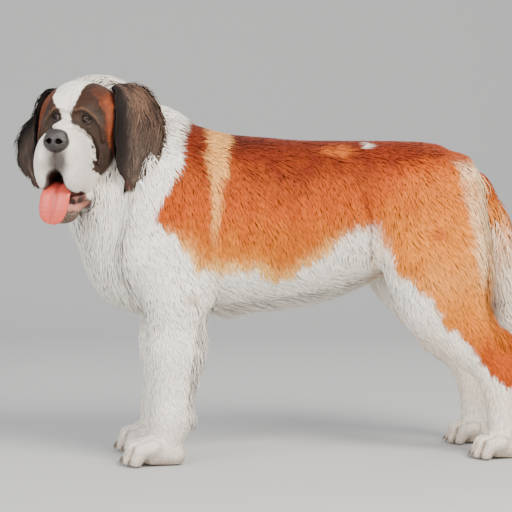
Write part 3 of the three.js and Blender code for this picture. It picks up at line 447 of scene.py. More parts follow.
def wrap(shape, low, high, cell):
    """Corners and quads of a closed mesh on a shape: one corner in each cell that the surface crosses."""
    low, high = np.array(low, float), np.array(high, float)
    value = sampled(shape, low, high, cell, 5)
    inside = value < 0
    m = np.array(value.shape) - 1
    count = sum(corner_of(inside, corner, m).astype(np.int8) for corner in CORNERS)
    cells = np.argwhere((count > 0) & (count < 8))
    index = np.full(m, -1)
    index[tuple(cells.T)] = np.arange(len(cells))
    values = np.stack([value[tuple((cells + corner).T)] for corner in CORNERS], 1)
    places = np.zeros((len(cells), 3))
    crossings = np.zeros(len(cells))
    spots = np.array(CORNERS, float)
    for a, b in EDGES:
        cut = (values[:, a] < 0) != (values[:, b] < 0)
        t = values[cut, a] / (values[cut, a] - values[cut, b])
        places[cut] += spots[a] + (spots[b] - spots[a]) * t[:, None]
        crossings[cut] += 1
    places = low + (cells + places / crossings[:, None]) * cell
    quads = []
    steps = np.eye(3, dtype=int)
    for axis in range(3):
        u, v = (axis + 1) % 3, (axis + 2) % 3
        first = corner_of(inside, (0, 0, 0), m)
        at = np.argwhere(first != corner_of(inside, steps[axis], m))
        at = at[(at[:, u] > 0) & (at[:, v] > 0)]
        around = ((1, 1), (0, 1), (0, 0), (1, 0))
        faces = np.stack([index[tuple((at - a * steps[u] - b * steps[v]).T)] for a, b in around], 1)
        out = first[tuple(at.T)]
        faces[~out] = faces[~out][:, ::-1]
        quads.append(faces)
    quads = np.concatenate(quads)
    return settle(shape, places, 2, cell * 0.6), quads[(quads >= 0).all(1)]


def noise(p, size, seed):
    """Smooth noise from -1 to 1 with the given size of feature."""
    q = p / np.asarray(size, float) + seed * 17.31
    base = np.floor(q).astype(np.int64)
    t = q - base
    t = t * t * (3 - 2 * t)
    shares = [(1 - part, part) for part in t.T]
    bx, by, bz = base.T
    total = np.zeros(len(p))
    for a, b, c in CORNERS:
        key = (bx + a) * 374761393 + (by + b) * 668265263 + (bz + c) * 2147483647 + seed * 974711
        key = (key ^ (key >> 13)) * 1274126177
        key = (key ^ (key >> 16)) & 0xFFFFFF
        total += shares[0][a] * shares[1][b] * shares[2][c] * (key / 0x7FFFFF - 1)
    return total


def rgb(r, g, b):
    """A colour given in screen values, as linear light."""
    v = np.array([r, g, b], float) / 255
    return np.where(v <= 0.04045, v / 12.92, ((v + 0.055) / 1.055) ** 2.4)


def ramp(t, stops):
    """Colours at places t between stops of (place, colour)."""
    places = [s[0] for s in stops]
    return np.stack([np.interp(t, places, [s[1][k] for s in stops]) for k in range(3)], 1)


def lay(under, over, share):
    share = np.clip(share, 0, 1)[:, None]
    return under * (1 - share) + over * share


# Palette.
WHITE, CREAM, GOLD = rgb(250, 240, 226), rgb(248, 190, 112), rgb(218, 124, 34)
ORANGE, MAHOGANY, UMBER = rgb(178, 74, 12), rgb(116, 38, 9), rgb(72, 22, 7)
PALE, BUFF, STAIN_AND_SHADE_TAN = CREAM * 0.35 + WHITE * 0.65, CREAM * 0.7 + WHITE * 0.3, rgb(176, 142, 110)
FACE_DARK, FACE_RED, EYE_PATCH = rgb(62, 42, 32), rgb(150, 72, 40), rgb(70, 60, 52)
FOREHEAD, CHEEK_DARK, MUZZLE_GREY = rgb(54, 32, 22), rgb(62, 48, 40), rgb(88, 78, 74)
CHIN, DROOL, EYE_RIM = rgb(190, 142, 98), rgb(164, 112, 70), rgb(30, 22, 18)
EAR_DARK, EAR_BROWN, EAR_GREY = rgb(50, 38, 33), rgb(136, 98, 74), rgb(126, 106, 91)
LIP_PIGMENT, LIP_PINK = rgb(56, 42, 40), rgb(198, 132, 116)
MOUTH_SHADE, NOSTRIL_SHADE = rgb(52, 26, 23), rgb(22, 16, 14)
PUPIL, IRIS, IRIS_RIM, EYE_EDGE = rgb(5, 3, 3), rgb(46, 24, 13), rgb(14, 8, 6), rgb(60, 40, 34)
LID_TINTS = [rgb(*tint) for tint in (
    (44, 22, 20), (30, 19, 16), (28, 20, 17), (42, 31, 25), (62, 48, 39), (74, 58, 47), (78, 62, 50))]
NOSE_TINTS = [rgb(54, 48, 45), rgb(30, 26, 24), rgb(18, 12, 11), rgb(52, 42, 40)]
TONGUE_TINTS = [rgb(212, 84, 68), rgb(166, 66, 60), rgb(140, 60, 56)]
CLAW_ROOT, CLAW_TIP = rgb(72, 62, 54), rgb(120, 106, 90)

# The coloured patch of the trunk and hindquarters, seen from the side: x and z of its edge.
PATCH = [
    (-150, 755), (-163, 725), (-176, 652), (-214, 595), (-244, 541), (-233, 523), (-185, 486), (-174, 453),
    (-152, 424), (-112, 413), (-14, 423), (30, 400), (77, 413), (138, 451), (183, 495), (215, 517),
    (262, 520), (292, 452), (312, 404), (377, 350), (430, 282), (500, 206), (552, 158), (720, 150),
    (720, 320), (560, 380), (548, 470), (538, 560), (640, 640), (560, 800), (-100, 900)]
# The pale hair down the back of the thighs.
BREECHES = [
    (440, 668), (470, 610), (472, 540), (478, 460), (488, 400), (520, 340), (560, 320), (640, 330),
    (640, 640), (500, 680)]
# Colours of the patch by height, from the belly to the back, on the trunk and on the haunch.
TRUNK_RAMP = [(400, CREAM), (432, GOLD), (490, ORANGE * 0.6 + GOLD * 0.4), (560, ORANGE),
              (620, ORANGE * 0.72), (672, MAHOGANY * 1.05), (745, MAHOGANY * 0.9)]
HAUNCH_RAMP = [(180, ORANGE), (290, GOLD), (380, GOLD * 0.8 + CREAM * 0.2), (480, GOLD),
               (580, GOLD * 0.5 + ORANGE * 0.5), (650, ORANGE), (715, MAHOGANY * 1.2)]
TAIL_RAMP = [(250, WHITE), (400, CREAM * 0.4 + WHITE * 0.6), (520, GOLD), (590, ORANGE),
             (660, ORANGE * 0.7 + MAHOGANY * 0.3)]
# Darker and brighter blotches on the patch: x, z, half width, half height, colour and share.
BLOTCHES = [
    (-28, 708, 78, 30, UMBER, 0.7), (60, 640, 120, 36, MAHOGANY * 1.1, 0.35),
    (405, 688, 60, 34, MAHOGANY * 0.95, 0.55), (190, 690, 58, 20, rgb(214, 108, 34), 0.75),
    (-150, 690, 22, 40, MAHOGANY, 0.4), (205, 640, 30, 34, MAHOGANY * 1.2, 0.5),
    (300, 515, 18, 9, UMBER * 1.6, 0.6), (392, 500, 30, 20, ORANGE * 0.8, 0.6),
    (350, 425, 26, 34, ORANGE * 0.8, 0.55), (480, 568, 24, 10, ORANGE * 0.9, 0.6),
    (332, 560, 34, 22, ORANGE * 0.9, 0.4),
]
# The cream stripe behind the shoulder: heights, with its middle and half width at each.
STRIPE_Z, STRIPE_X, STRIPE_HALF = [461, 556, 610, 658, 719], [-117, -109, -101, -97, -81], [8, 10, 15, 23, 28]
BACK_SPOT, BACK_SPOT_HALF = (262, 706), (17, 9)
CHEST_SMUDGE, CHEST_SMUDGE_HALF = (-166, 358), (24, 17)


def body_colour(p):
    """White, with the coloured patch and its blotches, the pale breeches, feet tinted grey-tan towards the
    floor, and painted shade in the flank fold and down the grooves between the toes.
    """
    x, y, z = p.T
    ragged = 9 * noise(p, 26, 1) + 6 * noise(p, [9, 9, 30], 2)
    edge = outline_distance(x + 0.6 * ragged, z + ragged, PATCH)
    streak = 30 * noise(p, [13, 16, 80], 3) + 32 * noise(p, [50, 60, 90], 4)
    haunch = ramp(z + streak - 0.35 * (x - 400), HAUNCH_RAMP)
    patch = lay(ramp(z + streak, TRUNK_RAMP), haunch, above(x + 0.5 * streak, 236, 50))
    mottled = 0.4 * noise(p, [16, 16, 26], 5)
    for at_x, at_z, wide, high, colour, share in BLOTCHES:
        inside = smooth(1.1 - oval(x, z, (at_x, at_z), (wide, high)) + mottled)
        patch = lay(patch, colour, share * inside)
    spot = smooth(1.2 - oval(x, z, BACK_SPOT, BACK_SPOT_HALF) + 0.4 * noise(p, 14, 8))
    patch = lay(patch, WHITE, 0.8 * spot * below(y, -10, 40))
    off_middle = np.abs(x - np.interp(z, STRIPE_Z, STRIPE_X) - 5 * noise(p, 50, 9))
    within = (np.interp(z, STRIPE_Z, STRIPE_HALF) - off_middle) / 16
    stripe = smooth(0.5 + within + 0.35 * noise(p, [9, 9, 40], 10))
    patch = lay(patch, CREAM * 0.6 + GOLD * 0.4, 0.85 * stripe * above(z, 430, 120) * below(z, 756, 24))
    soft = 12 + 26 * above(x, 150, 80) * below(x, 300, 40)
    pale_edge = smooth(1 + edge / (26 + soft)) * below(z, 540, 80) * below(x, 252, 20)
    patch = lay(patch, CREAM, 0.8 * pale_edge)
    colour = lay(np.tile(WHITE, (len(p), 1)), patch, smooth(0.5 - edge / soft))
    thigh_x = 270 + 0.12 * (z - 440)
    front_thigh = smooth(1.15 - np.abs(x - thigh_x) / 18 + 0.4 * noise(p, [12, 12, 40], 11))
    colour = lay(colour, PALE, 0.9 * front_thigh * above(z, 370, 30) * below(z, 505, 50))
    trousers = outline_distance(x + 1.6 * ragged, z + ragged, BREECHES)
    colour = lay(colour, BUFF, 0.95 * smooth(0.35 - trousers / 46) * below(z, 690, 50))
    # Painted shade: a dark umber line down the fold between flank and thigh, on the sides.
    fold = smooth(1.25 - line_distance(x, z, FLANK_FOLD) / 6)
    colour = lay(colour, UMBER * 1.6, 0.62 * fold * above(np.abs(y), 60, 30))
    smudge = smooth(1.2 - oval(x, z, CHEST_SMUDGE, CHEST_SMUDGE_HALF) + 0.5 * noise(p, 12, 6))
    colour = lay(colour, STAIN_AND_SHADE_TAN, 0.55 * smudge)
    colour = lay(colour, PALE, 0.5 * above(x, 330, 60) * below(z, 330, 60) * above(edge, 4, 20))
    colour = lay(colour, WHITE * 0.95, 0.7 * below(z - ragged, 118, 34))
    # Feet tinted grey-tan towards the floor.
    colour = lay(colour, STAIN_AND_SHADE_TAN, 0.35 * below(z - ragged, 52, 40))
    # Painted shade: a darker tan down the grooves between the toes.
    colour = lay(colour, STAIN_AND_SHADE_TAN * 0.55, 0.8 * above(toe_grooves(p), 0.25, 0.5))
    under = below(z, 370, 40) * below(x, 250, 30)
    return lay(colour, WHITE, under * below(np.abs(y), 70, 30))


def tail_colour(p):
    """Orange at the root, white at the end, with a dark back."""
    x, _, z = p.T
    ragged = 20 * noise(p, 26, 12) + 12 * noise(p, [10, 10, 60], 13)
    middle = np.interp(z, [238, 305, 385, 470, 550, 625], [614, 604, 596, 582, 556, 520])
    back = smooth((x - middle + 4 + 0.4 * ragged) / 26)
    return lay(ramp(z + ragged, TAIL_RAMP), MAHOGANY * 1.5, 0.6 * back * above(z, 330, 90))


def head_colour(p):
    """Dark patches round the eyes with a red band behind, and a white blaze, snout and back of the head."""
    q = to_head(p)
    f, l, u = q.T
    ragged = 2.2 * noise(q, 9, 14) + 1.6 * noise(q, 4, 15)
    l = l + ragged
    side = np.abs(l)
    patches = noise(q, [16, 16, 24], 16)
    strand = noise(q, [4, 4, 18], 19)
    band = side - np.interp(u, [-110, -72, -53, -20, 12, 34, 56], [92, 82, 79, 73, 64, 50, 30]) + 5 * patches
    band = smooth(0.5 + band / 7) * np.interp(u, [-110, -80, 30, 70], [0, 1, 1, 0.4])
    blaze_near = np.interp(u, [-22, -13, -2, 13, 34, 52, 90], [10, 4, -2, 2, 9, 13, 16])
    blaze_far = np.interp(u, [-30, -19, -4, 9, 23, 40, 56, 90], [30, 19, 21, 29, 42, 50, 56, 50])
    blaze = smooth(0.5 + np.minimum(blaze_near - l, l + blaze_far) / 4) * above(f, -50, 40)
    snout = np.interp(side, [0, 9, 29, 44, 55, 61, 70], [-8, -20, -31, -51, -79, -126, -200]) - u
    cheek = f - np.interp(u, [-170, -146, -126, -102, -79, -51], [30, 42, 56, 68, 74, 74])
    white = np.max([blaze, smooth(0.5 + np.minimum(snout, cheek) / 5),
                    smooth((-156 - u + 0.25 * f + 2 * ragged) / 16), smooth((-58 - f + 2 * ragged) / 14)], 0)
    chin = above(f, 60, 20) * below(u, -178, 12) * below(side, 60, 20)
    pigment = smooth(1.3 - oval(l, u, (3, -106), (37, 42)) + 0.2 * patches) * above(f, 134, 20)
    ring = np.sqrt((f - EYE_AHEAD) ** 2 + (side - EYE_OUT) ** 2 + (u - EYE_UP) ** 2)
    thin = smooth(1.1 - np.abs(l + 5) / 3.0) * above(f, 50, 20) * above(u, -30, 12) * below(u, 70, 30)
    # Painted highlight: a lighter brown line along the brow fold, where light catches it.
    brow = smooth(1.2 - line_distance(side, u, FOLDS[0][0]) / 5 + 0.5 * strand) * above(u, -24, 14)
    coat = np.tile(FACE_DARK, (len(p), 1))
    for colour, share in (
            # The red band is painted weaker on the far side of the face, as shade on that side.
            (FACE_RED, band * (0.72 + 0.28 * strand) * np.where(l > 0, 1, 0.6)),
            (EYE_PATCH, 0.75 * smooth(1.3 - oval(side, u, (42, -12), (34, 34)) + 0.5 * patches)),
            (EAR_BROWN, 0.4 * brow),
            (FOREHEAD, 0.7 * above(u + 10 * patches, 16, 26) * below(side, 66, 14)),
            (CHEEK_DARK, 0.75 * below(u - 10 * patches, -46, 24) * (1 - 0.8 * band)),
            (WHITE, white),
            (EAR_BROWN * 1.4, 0.35 * thin),
            (CHIN, 0.6 * chin),
            (DROOL, 0.6 * smooth(1.1 - oval(f, u, (96, -226), (30, 12)) + 0.5 * strand)),
            (MUZZLE_GREY, 0.96 * pigment),
            (LIP_PIGMENT, 0.7 * below(mouth(q), 5.5, 3) * above(f, 30, 20)),
            (EYE_RIM, 0.7 * below(ring, 22, 8))):
        coat = lay(coat, colour, share)
    return coat


def skin_colour(p):
    """Colour of skin and coat at places, from where they are on the dog."""
    colour = body_colour(p)
    at_tail = smooth((body(p) - tail(p)) / 12) * above(p[:, 0], 470, 20)
    colour = lay(colour, tail_colour(p), at_tail)
    q = to_head(p)
    on_face = face_share(p, q) * above(q[:, 0], -96, 20)
    nearby = on_face > 0
    if nearby.any():
        colour[nearby] = lay(colour[nearby], head_colour(p[nearby]), on_face[nearby])
    return colour


def on_lower_jaw(q):
    """How far a place of the head is on the lower jaw, in front of the corner of the mouth."""
    return smooth(0.5 + (upper_head(q) - jaw(q)) / 6) * above(q[:, 0], 30, 15) * (mouth(q) < 6)


def bare_colour(p):
    """Colour of the skin, with the lips' edges, painted shade deep inside the mouth and painted shade behind
    the nostrils.
    """
    q = to_head(p)
    into = mouth(q)
    blotch = noise(p, [9, 9, 7], 61)
    lip = on_lower_jaw(q) * above(q[:, 2] + 4 * blotch, -215, 6)
    edge = np.minimum(lower_lip[0](q), lower_lip[1](q))
    colour = skin_colour(p)
    for over, share in (
            (LIP_PIGMENT, 0.8 * below(into, 5, 4) * above(q[:, 0], 20, 20) * (whole_head(q) < 30)),
            # Painted shade: near-black deep inside the mouth's hollow.
            (MOUTH_SHADE, 0.95 * below(into, 2.5, 2) * smooth((-upper_head(q) - 3) / 6)),
            (LIP_PINK, 0.95 * lip),
            (LIP_PIGMENT, lip * below(edge, 3.5, 3) * (0.55 + 0.45 * smooth(0.5 + blotch))),
            # Painted shade: the skin under the nose leather, seen through the nostrils, near black.
            (NOSTRIL_SHADE, below(nose(q), 2, 2) * (q[:, 0] > 150))):
        colour = lay(colour, over, share)
    return colour


eye_low, eye_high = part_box("eye_left")
SHIFT = on_head([EYE_AHEAD, EYE_OUT, EYE_UP]) / 1000 - np.array((eye_low + eye_high) / 2)


def material(name, roughness, specular, mottle, mottle_size, bump=(), sheen=0.0, coat=0.0, subsurface=0.0):
    """A finish whose colour comes from the piece's own colours, broken up by fine noise."""
    finish = bpy.data.materials.new(name)
    finish.use_nodes = True
    nodes, links = finish.node_tree.nodes, finish.node_tree.links
    shader = nodes["Principled BSDF"]

    def fill(node, values):
        for socket, value in values.items():
            node.inputs[socket].default_value = value
        return node
    fill(shader, {"Roughness": roughness, "Specular IOR Level": specular, "Sheen Weight": sheen,
                  "Sheen Roughness": 0.5, "Coat Weight": coat, "Coat Roughness": 0.08,
                  "Subsurface Weight": subsurface, "Subsurface Radius": (0.006, 0.003, 0.002)})
    source = nodes.new("ShaderNodeAttribute")
    source.attribute_name = "coat"
    place = nodes.new("ShaderNodeTexCoord")
    speck = fill(nodes.new("ShaderNodeTexNoise"), {"Scale": mottle_size, "Detail": 4})
    links.new(place.outputs["Object"], speck.inputs["Vector"])
    spread = fill(nodes.new("ShaderNodeMapRange"), {"To Min": 1 - mottle, "To Max": 1 + mottle})
    links.new(speck.outputs["Fac"], spread.inputs["Value"])
    shade = nodes.new("ShaderNodeVectorMath")
    shade.operation = "SCALE"
    links.new(source.outputs["Color"], shade.inputs[0])
    links.new(spread.outputs["Result"], shade.inputs["Scale"])
    links.new(shade.outputs["Vector"], shader.inputs["Base Color"])
    normal = None
    for kind, scale, strength, distance in bump:
        texture = fill(nodes.new(f"ShaderNodeTex{kind}"), {"Scale": scale})
        if kind == "Noise":
            texture.inputs["Detail"].default_value = 3
        links.new(place.outputs["Object"], texture.inputs["Vector"])
        relief = fill(nodes.new("ShaderNodeBump"), {"Strength": strength, "Distance": distance})
        links.new(texture.outputs["Fac" if kind == "Noise" else "Distance"], relief.inputs["Height"])
        if normal:
            links.new(normal, relief.inputs["Normal"])
        normal = relief.outputs["Normal"]
    if normal:
        links.new(normal, shader.inputs["Normal"])
    return finish


HAIR = material("hair", 0.7, 0.16, 0.10, 220, sheen=0.03)
SKIN = material("skin", 0.75, 0.16, 0.16, 140, [("Noise", 420, 0.5, 0.0012), ("Noise", 90, 0.3, 0.003)])
NOSE = material("nose", 0.38, 0.5, 0.14, 160, [("Voronoi", 480, 0.55, 0.0010), ("Noise", 160, 0.3, 0.0012)])
TONGUE = material("tongue", 0.34, 0.5, 0.10, 120,
                  [("Noise", 900, 0.45, 0.0006), ("Noise", 120, 0.25, 0.0012)], subsurface=0.15)
EYE = material("eye", 0.12, 0.45, 0.12, 900, coat=0.5)
LID = material("lid", 0.42, 0.4, 0.12, 300, [("Noise", 700, 0.4, 0.0006)])
CLAW = material("claw", 0.35, 0.45, 0.25, 260, [("Noise", 500, 0.3, 0.0004)])


def make(name, places, faces, finish, slot, colours, nodes=(), uv=None, normals=None):
    """A piece from corners in millimetres and faces of one kind, with a colour at each corner."""
    places = places / 1000 - SHIFT
    faces = np.asarray(faces)
    mesh = bpy.data.meshes.new(name)
    mesh.vertices.add(len(places))
    mesh.vertices.foreach_set("co", places.astype(np.float32).ravel())
    mesh.loops.add(faces.size)
    mesh.loops.foreach_set("vertex_index", faces.astype(np.int32).ravel())
    mesh.polygons.add(len(faces))
    mesh.polygons.foreach_set("loop_start", np.arange(0, faces.size, faces.shape[1], dtype=np.int32))
    mesh.update(calc_edges=True)
    mesh.validate()
    mesh.polygons.foreach_set("use_smooth", np.ones(len(mesh.polygons), bool))
    full = np.ones((len(places), 4), np.float32)
    full[:, :3] = np.clip(colours, 0, 1)
    mesh.color_attributes.new("coat", "FLOAT_COLOR", "POINT").data.foreach_set("color", full.ravel())
    if uv is not None:
        layer = mesh.uv_layers.new(name="OFBake")
        layer.data.foreach_set("uv", uv[faces.ravel()].astype(np.float32).ravel())
    if normals is not None:
        mesh.normals_split_custom_set_from_vertices(normals)
    piece = bpy.data.objects.new(name, mesh)
    bpy.context.scene.collection.objects.link(piece)
    mesh.materials.append(finish)
    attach(piece, "root")
    if nodes:
        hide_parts(*nodes)


# Skin. The body's ends just inside the head's, a little below it, so that one lies over the other.
HEAD_BASE = np.array([-361.0, 8, 742])
HEAD_FACING = unit(np.array([-0.72, -0.52, 0.46]))
BODY_CELL, HEAD_CELL, NOSE_CELL = ((6.5, 3.2, 1.5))


def past_head_base(p):
    return (p - HEAD_BASE) @ HEAD_FACING


def body_part(p):
    past = past_head_base(p)
    return np.maximum(skin(p) + 1.5 * np.clip((past + 8) / 8, 0, 1), past - 14)


def head_part(p):
    return np.maximum(skin(p), -past_head_base(p) - 12)


SKINS = {"body": wrap(body_part, [-480, -260, -20], [690, 260, 900], BODY_CELL),
         "head": wrap(head_part, [-570, -330, 500], [-250, 130, 900], HEAD_CELL)}
SLOTS = {"body": "white_coat", "head": "dark_coat"}
FLESH = ["chest", "barrel", "rump", "neck", "tail_root", "tail_plume"]
FLESH += [f"{part}_{which}" for which, _ in SIDES
          for part in ("foreleg", "forepaw", "thigh", "shank", "hock", "hindpaw")]
# The skin seen between the tufts has the coat's colour made a little darker by the shade factor: painted
# shade deep in the coat.
for part, shade, stood_for in (("body", 0.9, FLESH), ("head", 0.92, ["head", "muzzle", "lower_jaw"])):
    make(f"skin_{part}", *SKINS[part], SKIN, SLOTS[part], bare_colour(SKINS[part][0]) * shade, stood_for)


def scatter(places, quads, density):
    """Roots spread over quads, with so many to the square millimetre at each place."""
    a, b, c, d = (places[quads[:, k]] for k in range(4))
    area = 0.5 * np.sqrt((np.cross(c - a, d - b) ** 2).sum(1))
    wanted = area * density((a + b + c + d) / 4)
    which = np.repeat(np.arange(len(quads)), np.floor(wanted + RNG.random(len(quads))).astype(int))
    order = np.arange(len(which))
    u, v = ((order * step + RNG.random(len(which)) * 0.2) % 1 for step in (0.7548776662, 0.5698402910))
    u, v = u[:, None], v[:, None]
    return (1 - u) * (1 - v) * a[which] + u * (1 - v) * b[which] + u * v * c[which] + (1 - u) * v * d[which]


def lie_of_coat(p, q, on_face, at_tail):
    """The way the hair runs, before it is laid on the skin."""
    x, y, z = p.T
    f, l, u = q.T
    belly = above(x, -150, 60) * below(x, 300, 60) * below(z, 470, 60) * (z > 290)
    way = np.tile([0.26, 0.0, -0.96], (len(p), 1))
    for direction, share in (
            ([0.85, 0, -0.5], above(z, 640, 90) * (x > -250)),
            ([0.16, 0, -1], smooth((-250 - x) / 90 * np.clip((640 - z) / 100, 0, 1))),
            ([0.2, 0, -1], below(z, 380, 90) * (x < 0)),
            ([0.45, 0, -0.9], above(x, 300, 80)),
            ([0.55, 0, -0.83], below(z, 380, 60) * (x > 250)),
            ([0.05, 0, -1], below(z, 190, 30) * (x > 250)),
            ([0.85, 0, -0.5], belly)):
        way = lay(way, np.array(direction), share)
    for centre_x, centre_y, _, _ in PAWS:
        near = below(np.hypot(x - centre_x, y - centre_y), 150, 30) * below(z, 78, 24)
        way = lay(way, np.array([-0.75, 0, -0.6]), near)
    way = lay(way, np.array([0.15, 0, -1]), at_tail)
    face = np.tile([-0.95, 0, 0.25], (len(p), 1))
    face = lay(face, np.array([-0.75, 0, -0.65]), smooth((-10 - u + 0.3 * (f - 60)) / 40))
    outward = np.stack([np.full(len(p), -0.55), np.sign(l) * 0.35, np.full(len(p), -0.75)], 1)
    face = lay(face, outward, above(f, 95, 25) * above(np.abs(l), 14, 14))
    face = lay(face, np.array([-0.55, 0, -0.85]), below(u, -150, 25))
    return lay(way, face @ HEAD_AXES, on_face)


def coat_plan(p):
    """Lie, length, width, height of the tips over the skin and fall of the tips for tufts rooted at p."""
    x, _, z = p.T
    q = to_head(p)
    f, _, u = q.T
    on_face = face_share(p, q)
    at_tail = smooth((body(p) - tail(p)) / 12) * (x > 470)
    length = np.interp(z, [60, 110, 200, 330, 430, 700], [13, 15, 20, 27, 38, 34])
    width = np.interp(z, [60, 200, 400], [2.8, 3.6, 4.2])
    height = coat_depth(p) * 0.95
    fall = np.zeros_like(p)
    rows = ((70, 4.6, [0, 0, -6]), (80, 4.6, [8, 0, -8]), (58, 4.4, [4, 0, -9]), (56, 4.0, [9, 0, -5]))
    for share, (long, wide, drop) in zip(long_shares(p), rows):
        length += (long - length) * share
        width += (wide - width) * share
        fall += share[:, None] * np.array(drop)
    length += (48 - length) * above(z, 700, 60) * below(x, -180, 60)
    height += 15 * above(z, 780, 60) * below(x, -300, 40)
    face_length = np.interp(f, [-90, -50, 20, 70, 110, 180], [34, 24, 14, 8, 6.5, 4.5])
    face_length += 8 * below(u, -110, 50) * below(f, 100, 40)
    for share, long, wide, high in (
            (below(z, 66, 30), 9.5, 2.6, 1.8),
            (at_tail, 92 * above(x, 480, 70) + 40, 4.8, TAIL_COAT * above(x, 490, 60) + 5),
            (on_face, face_length, np.interp(f, [-90, 0, 80, 180], [5.5, 3.6, 2.3, 1.9]),
             np.interp(f, [-90, -20, 60, 180], [16, 6, 2.4, 1.4]))):
        length += (long - length) * share
        width += (wide - width) * share
        height += (high - height) * share
    fall *= (1 - on_face)[:, None]
    return lie_of_coat(p, q, on_face, at_tail), length, width, height, fall


def unwrap(p):
    """Places on an unwrap of the skin: each part of the body is rolled out in its own field of the square."""
    x, y, z = p.T
    q = to_head(p)
    field = np.empty((len(p), 2))

    def share(value, start, span):
        return np.clip((value - start) / span, 0, 1)

    def turn(a, b):
        return np.arctan2(a, b) / (2 * np.pi) + 0.5

    def put(where, across, up):
        field[where] = np.stack([across, up], 1)[where]
    put(np.full(len(p), True), 0.01 + 0.54 * share(x, -460, 1100), 0.45 + 0.54 * turn(y, z - 540))
    head = whole_head(q) < body(p)
    put(head, 0.58 + 0.41 * share(q[:, 0], -110, 330), 0.45 + 0.54 * turn(q[:, 1], q[:, 2] + 70))
    at_tail = (tail(p) < body(p)) & (x > 470) & ~head
    put(at_tail, 0.82 + 0.17 * turn(y, x - 575), 0.01 + 0.42 * share(z, 220, 480))
    for k, (centre_x, centre_y, _, _) in enumerate(PAWS):
        hind = centre_x > 0
        leg = (z < (370 if hind else 330)) & (np.abs(y - centre_y) < 100) & ((x > 250) == hind)
        leg &= ~at_tail & ~head
        bend = ([60, 183, 355], [0, 0, -120]) if hind else ([60, 370], [0, 34])
        around = turn(y - centre_y, x - centre_x - np.interp(z, *bend))
        put(leg, 0.01 + 0.2 * k + 0.18 * around, 0.01 + 0.42 * share(z, 0, 370))
    return field


# Blades: each tuft of hair has three sides and narrows to a tip.
BLADE_SIDES = np.array([[1.0, 0], [-1, 0], [0, 1]])
BLADE_WIDTHS = {2: [0.85, 0.8], 3: [0.75, 1.0, 0.62], 4: [0.7, 1.0, 0.85, 0.5]}
BLADE_THICK, NORMAL_SOFT = 0.26, 0.82
# Blades are painted darker at the root, as shade deep in the coat, and lighter at the tip, as painted light;
# the spread is each tuft's own random tone.
ROOT_SHADE_TONE, TIP_LIGHT_GAIN, TONE_SPREAD = 0.84, 0.26, 0.09
PATCH_SIZE = 0.003
PIECE_LIMIT = 196000
THIN = 1.0


def blade_faces(steps):
    faces = []
    for k in range(steps - 1):
        for j in range(3):
            a, b = 3 * k + j, 3 * k + (j + 1) % 3
            faces += [[a, b, b + 3], [a, b + 3, a + 3]]
    last = 3 * (steps - 1)
    faces += [[last + j, last + (j + 1) % 3, 3 * steps] for j in range(3)]
    return np.array(faces + [[0, 2, 1]])


def blades(path, outs, widths):
    """Corners of tapered blades along paths, as an array of blade, corner and axis."""
    steps = path.shape[1] - 1
    rings = []
    for k in range(steps):
        on = unit(path[:, k + 1] - path[:, max(k - 1, 0)])
        across = unit(np.cross(on, outs[:, k]))
        up = np.cross(across, on)
        wide = widths[:, k, None]
        rings += [path[:, k] + across * (a * wide * 0.5) + up * (b * wide * BLADE_THICK)
                  for a, b in BLADE_SIDES]
    return np.stack(rings + [path[:, steps]], 1)


def plant(name, path, outs, widths, colours, uv, slot, order):
    """Makes coat pieces out of many blades, none over the limit of triangles."""
    corners = blades(path, outs, widths)
    n, per = corners.shape[:2]
    steps = path.shape[1] - 1
    faces = blade_faces(steps)
    level = np.minimum(np.arange(per) // 3, steps)
    share = level / steps
    # Painted shade at each blade's root and painted light towards its tip.
    root_shade_tip_light = (ROOT_SHADE_TONE + TIP_LIGHT_GAIN * share)[None, :, None]
    tint = colours[:, None, :] * root_shade_tip_light * (1 + TONE_SPREAD * RNG.standard_normal(n))[:, None, None]
    lean = corners - path[:, level]
    normals = unit(outs[:, level] * NORMAL_SOFT + unit(lean + 1e-9) * (1 - NORMAL_SOFT))
    spot = np.stack([np.tile([0, 1, 0.5], steps + 1)[:per], share], 1) - 0.5
    spread = uv[:, None, :] + spot[None] * PATCH_SIZE
    rank = np.argsort(order, kind="stable")
    pieces = math.ceil(n / (PIECE_LIMIT // len(faces)))
    for k in range(pieces):
        pick = rank[k * n // pieces:(k + 1) * n // pieces]
        flat = (faces[None] + np.arange(len(pick))[:, None, None] * per).reshape(-1, 3)
        make(f"{name}_{k + 1}", corners[pick].reshape(-1, 3), flat, HAIR, slot, tint[pick].reshape(-1, 3),
             uv=spread[pick].reshape(-1, 2), normals=normals[pick].reshape(-1, 3))


def curve(points, t):
    """A smooth curve through points, with t from 0 to 1 over the list."""
    points = np.asarray(points, float)
    n = len(points) - 1
    t = np.clip(np.atleast_1d(t), 0, 1) * n
    k = np.minimum(t.astype(int), n - 1)
    r = (t - k)[:, None] if points.ndim > 1 else t - k
    a, b = points[np.maximum(k - 1, 0)], points[k]
    c, d = points[k + 1], points[np.minimum(k + 2, n)]
    square, cube = 2 * a - 5 * b + 4 * c - d, 3 * b - a - 3 * c + d
    return 0.5 * (2 * b + (c - a) * r + square * r ** 2 + cube * r ** 3)


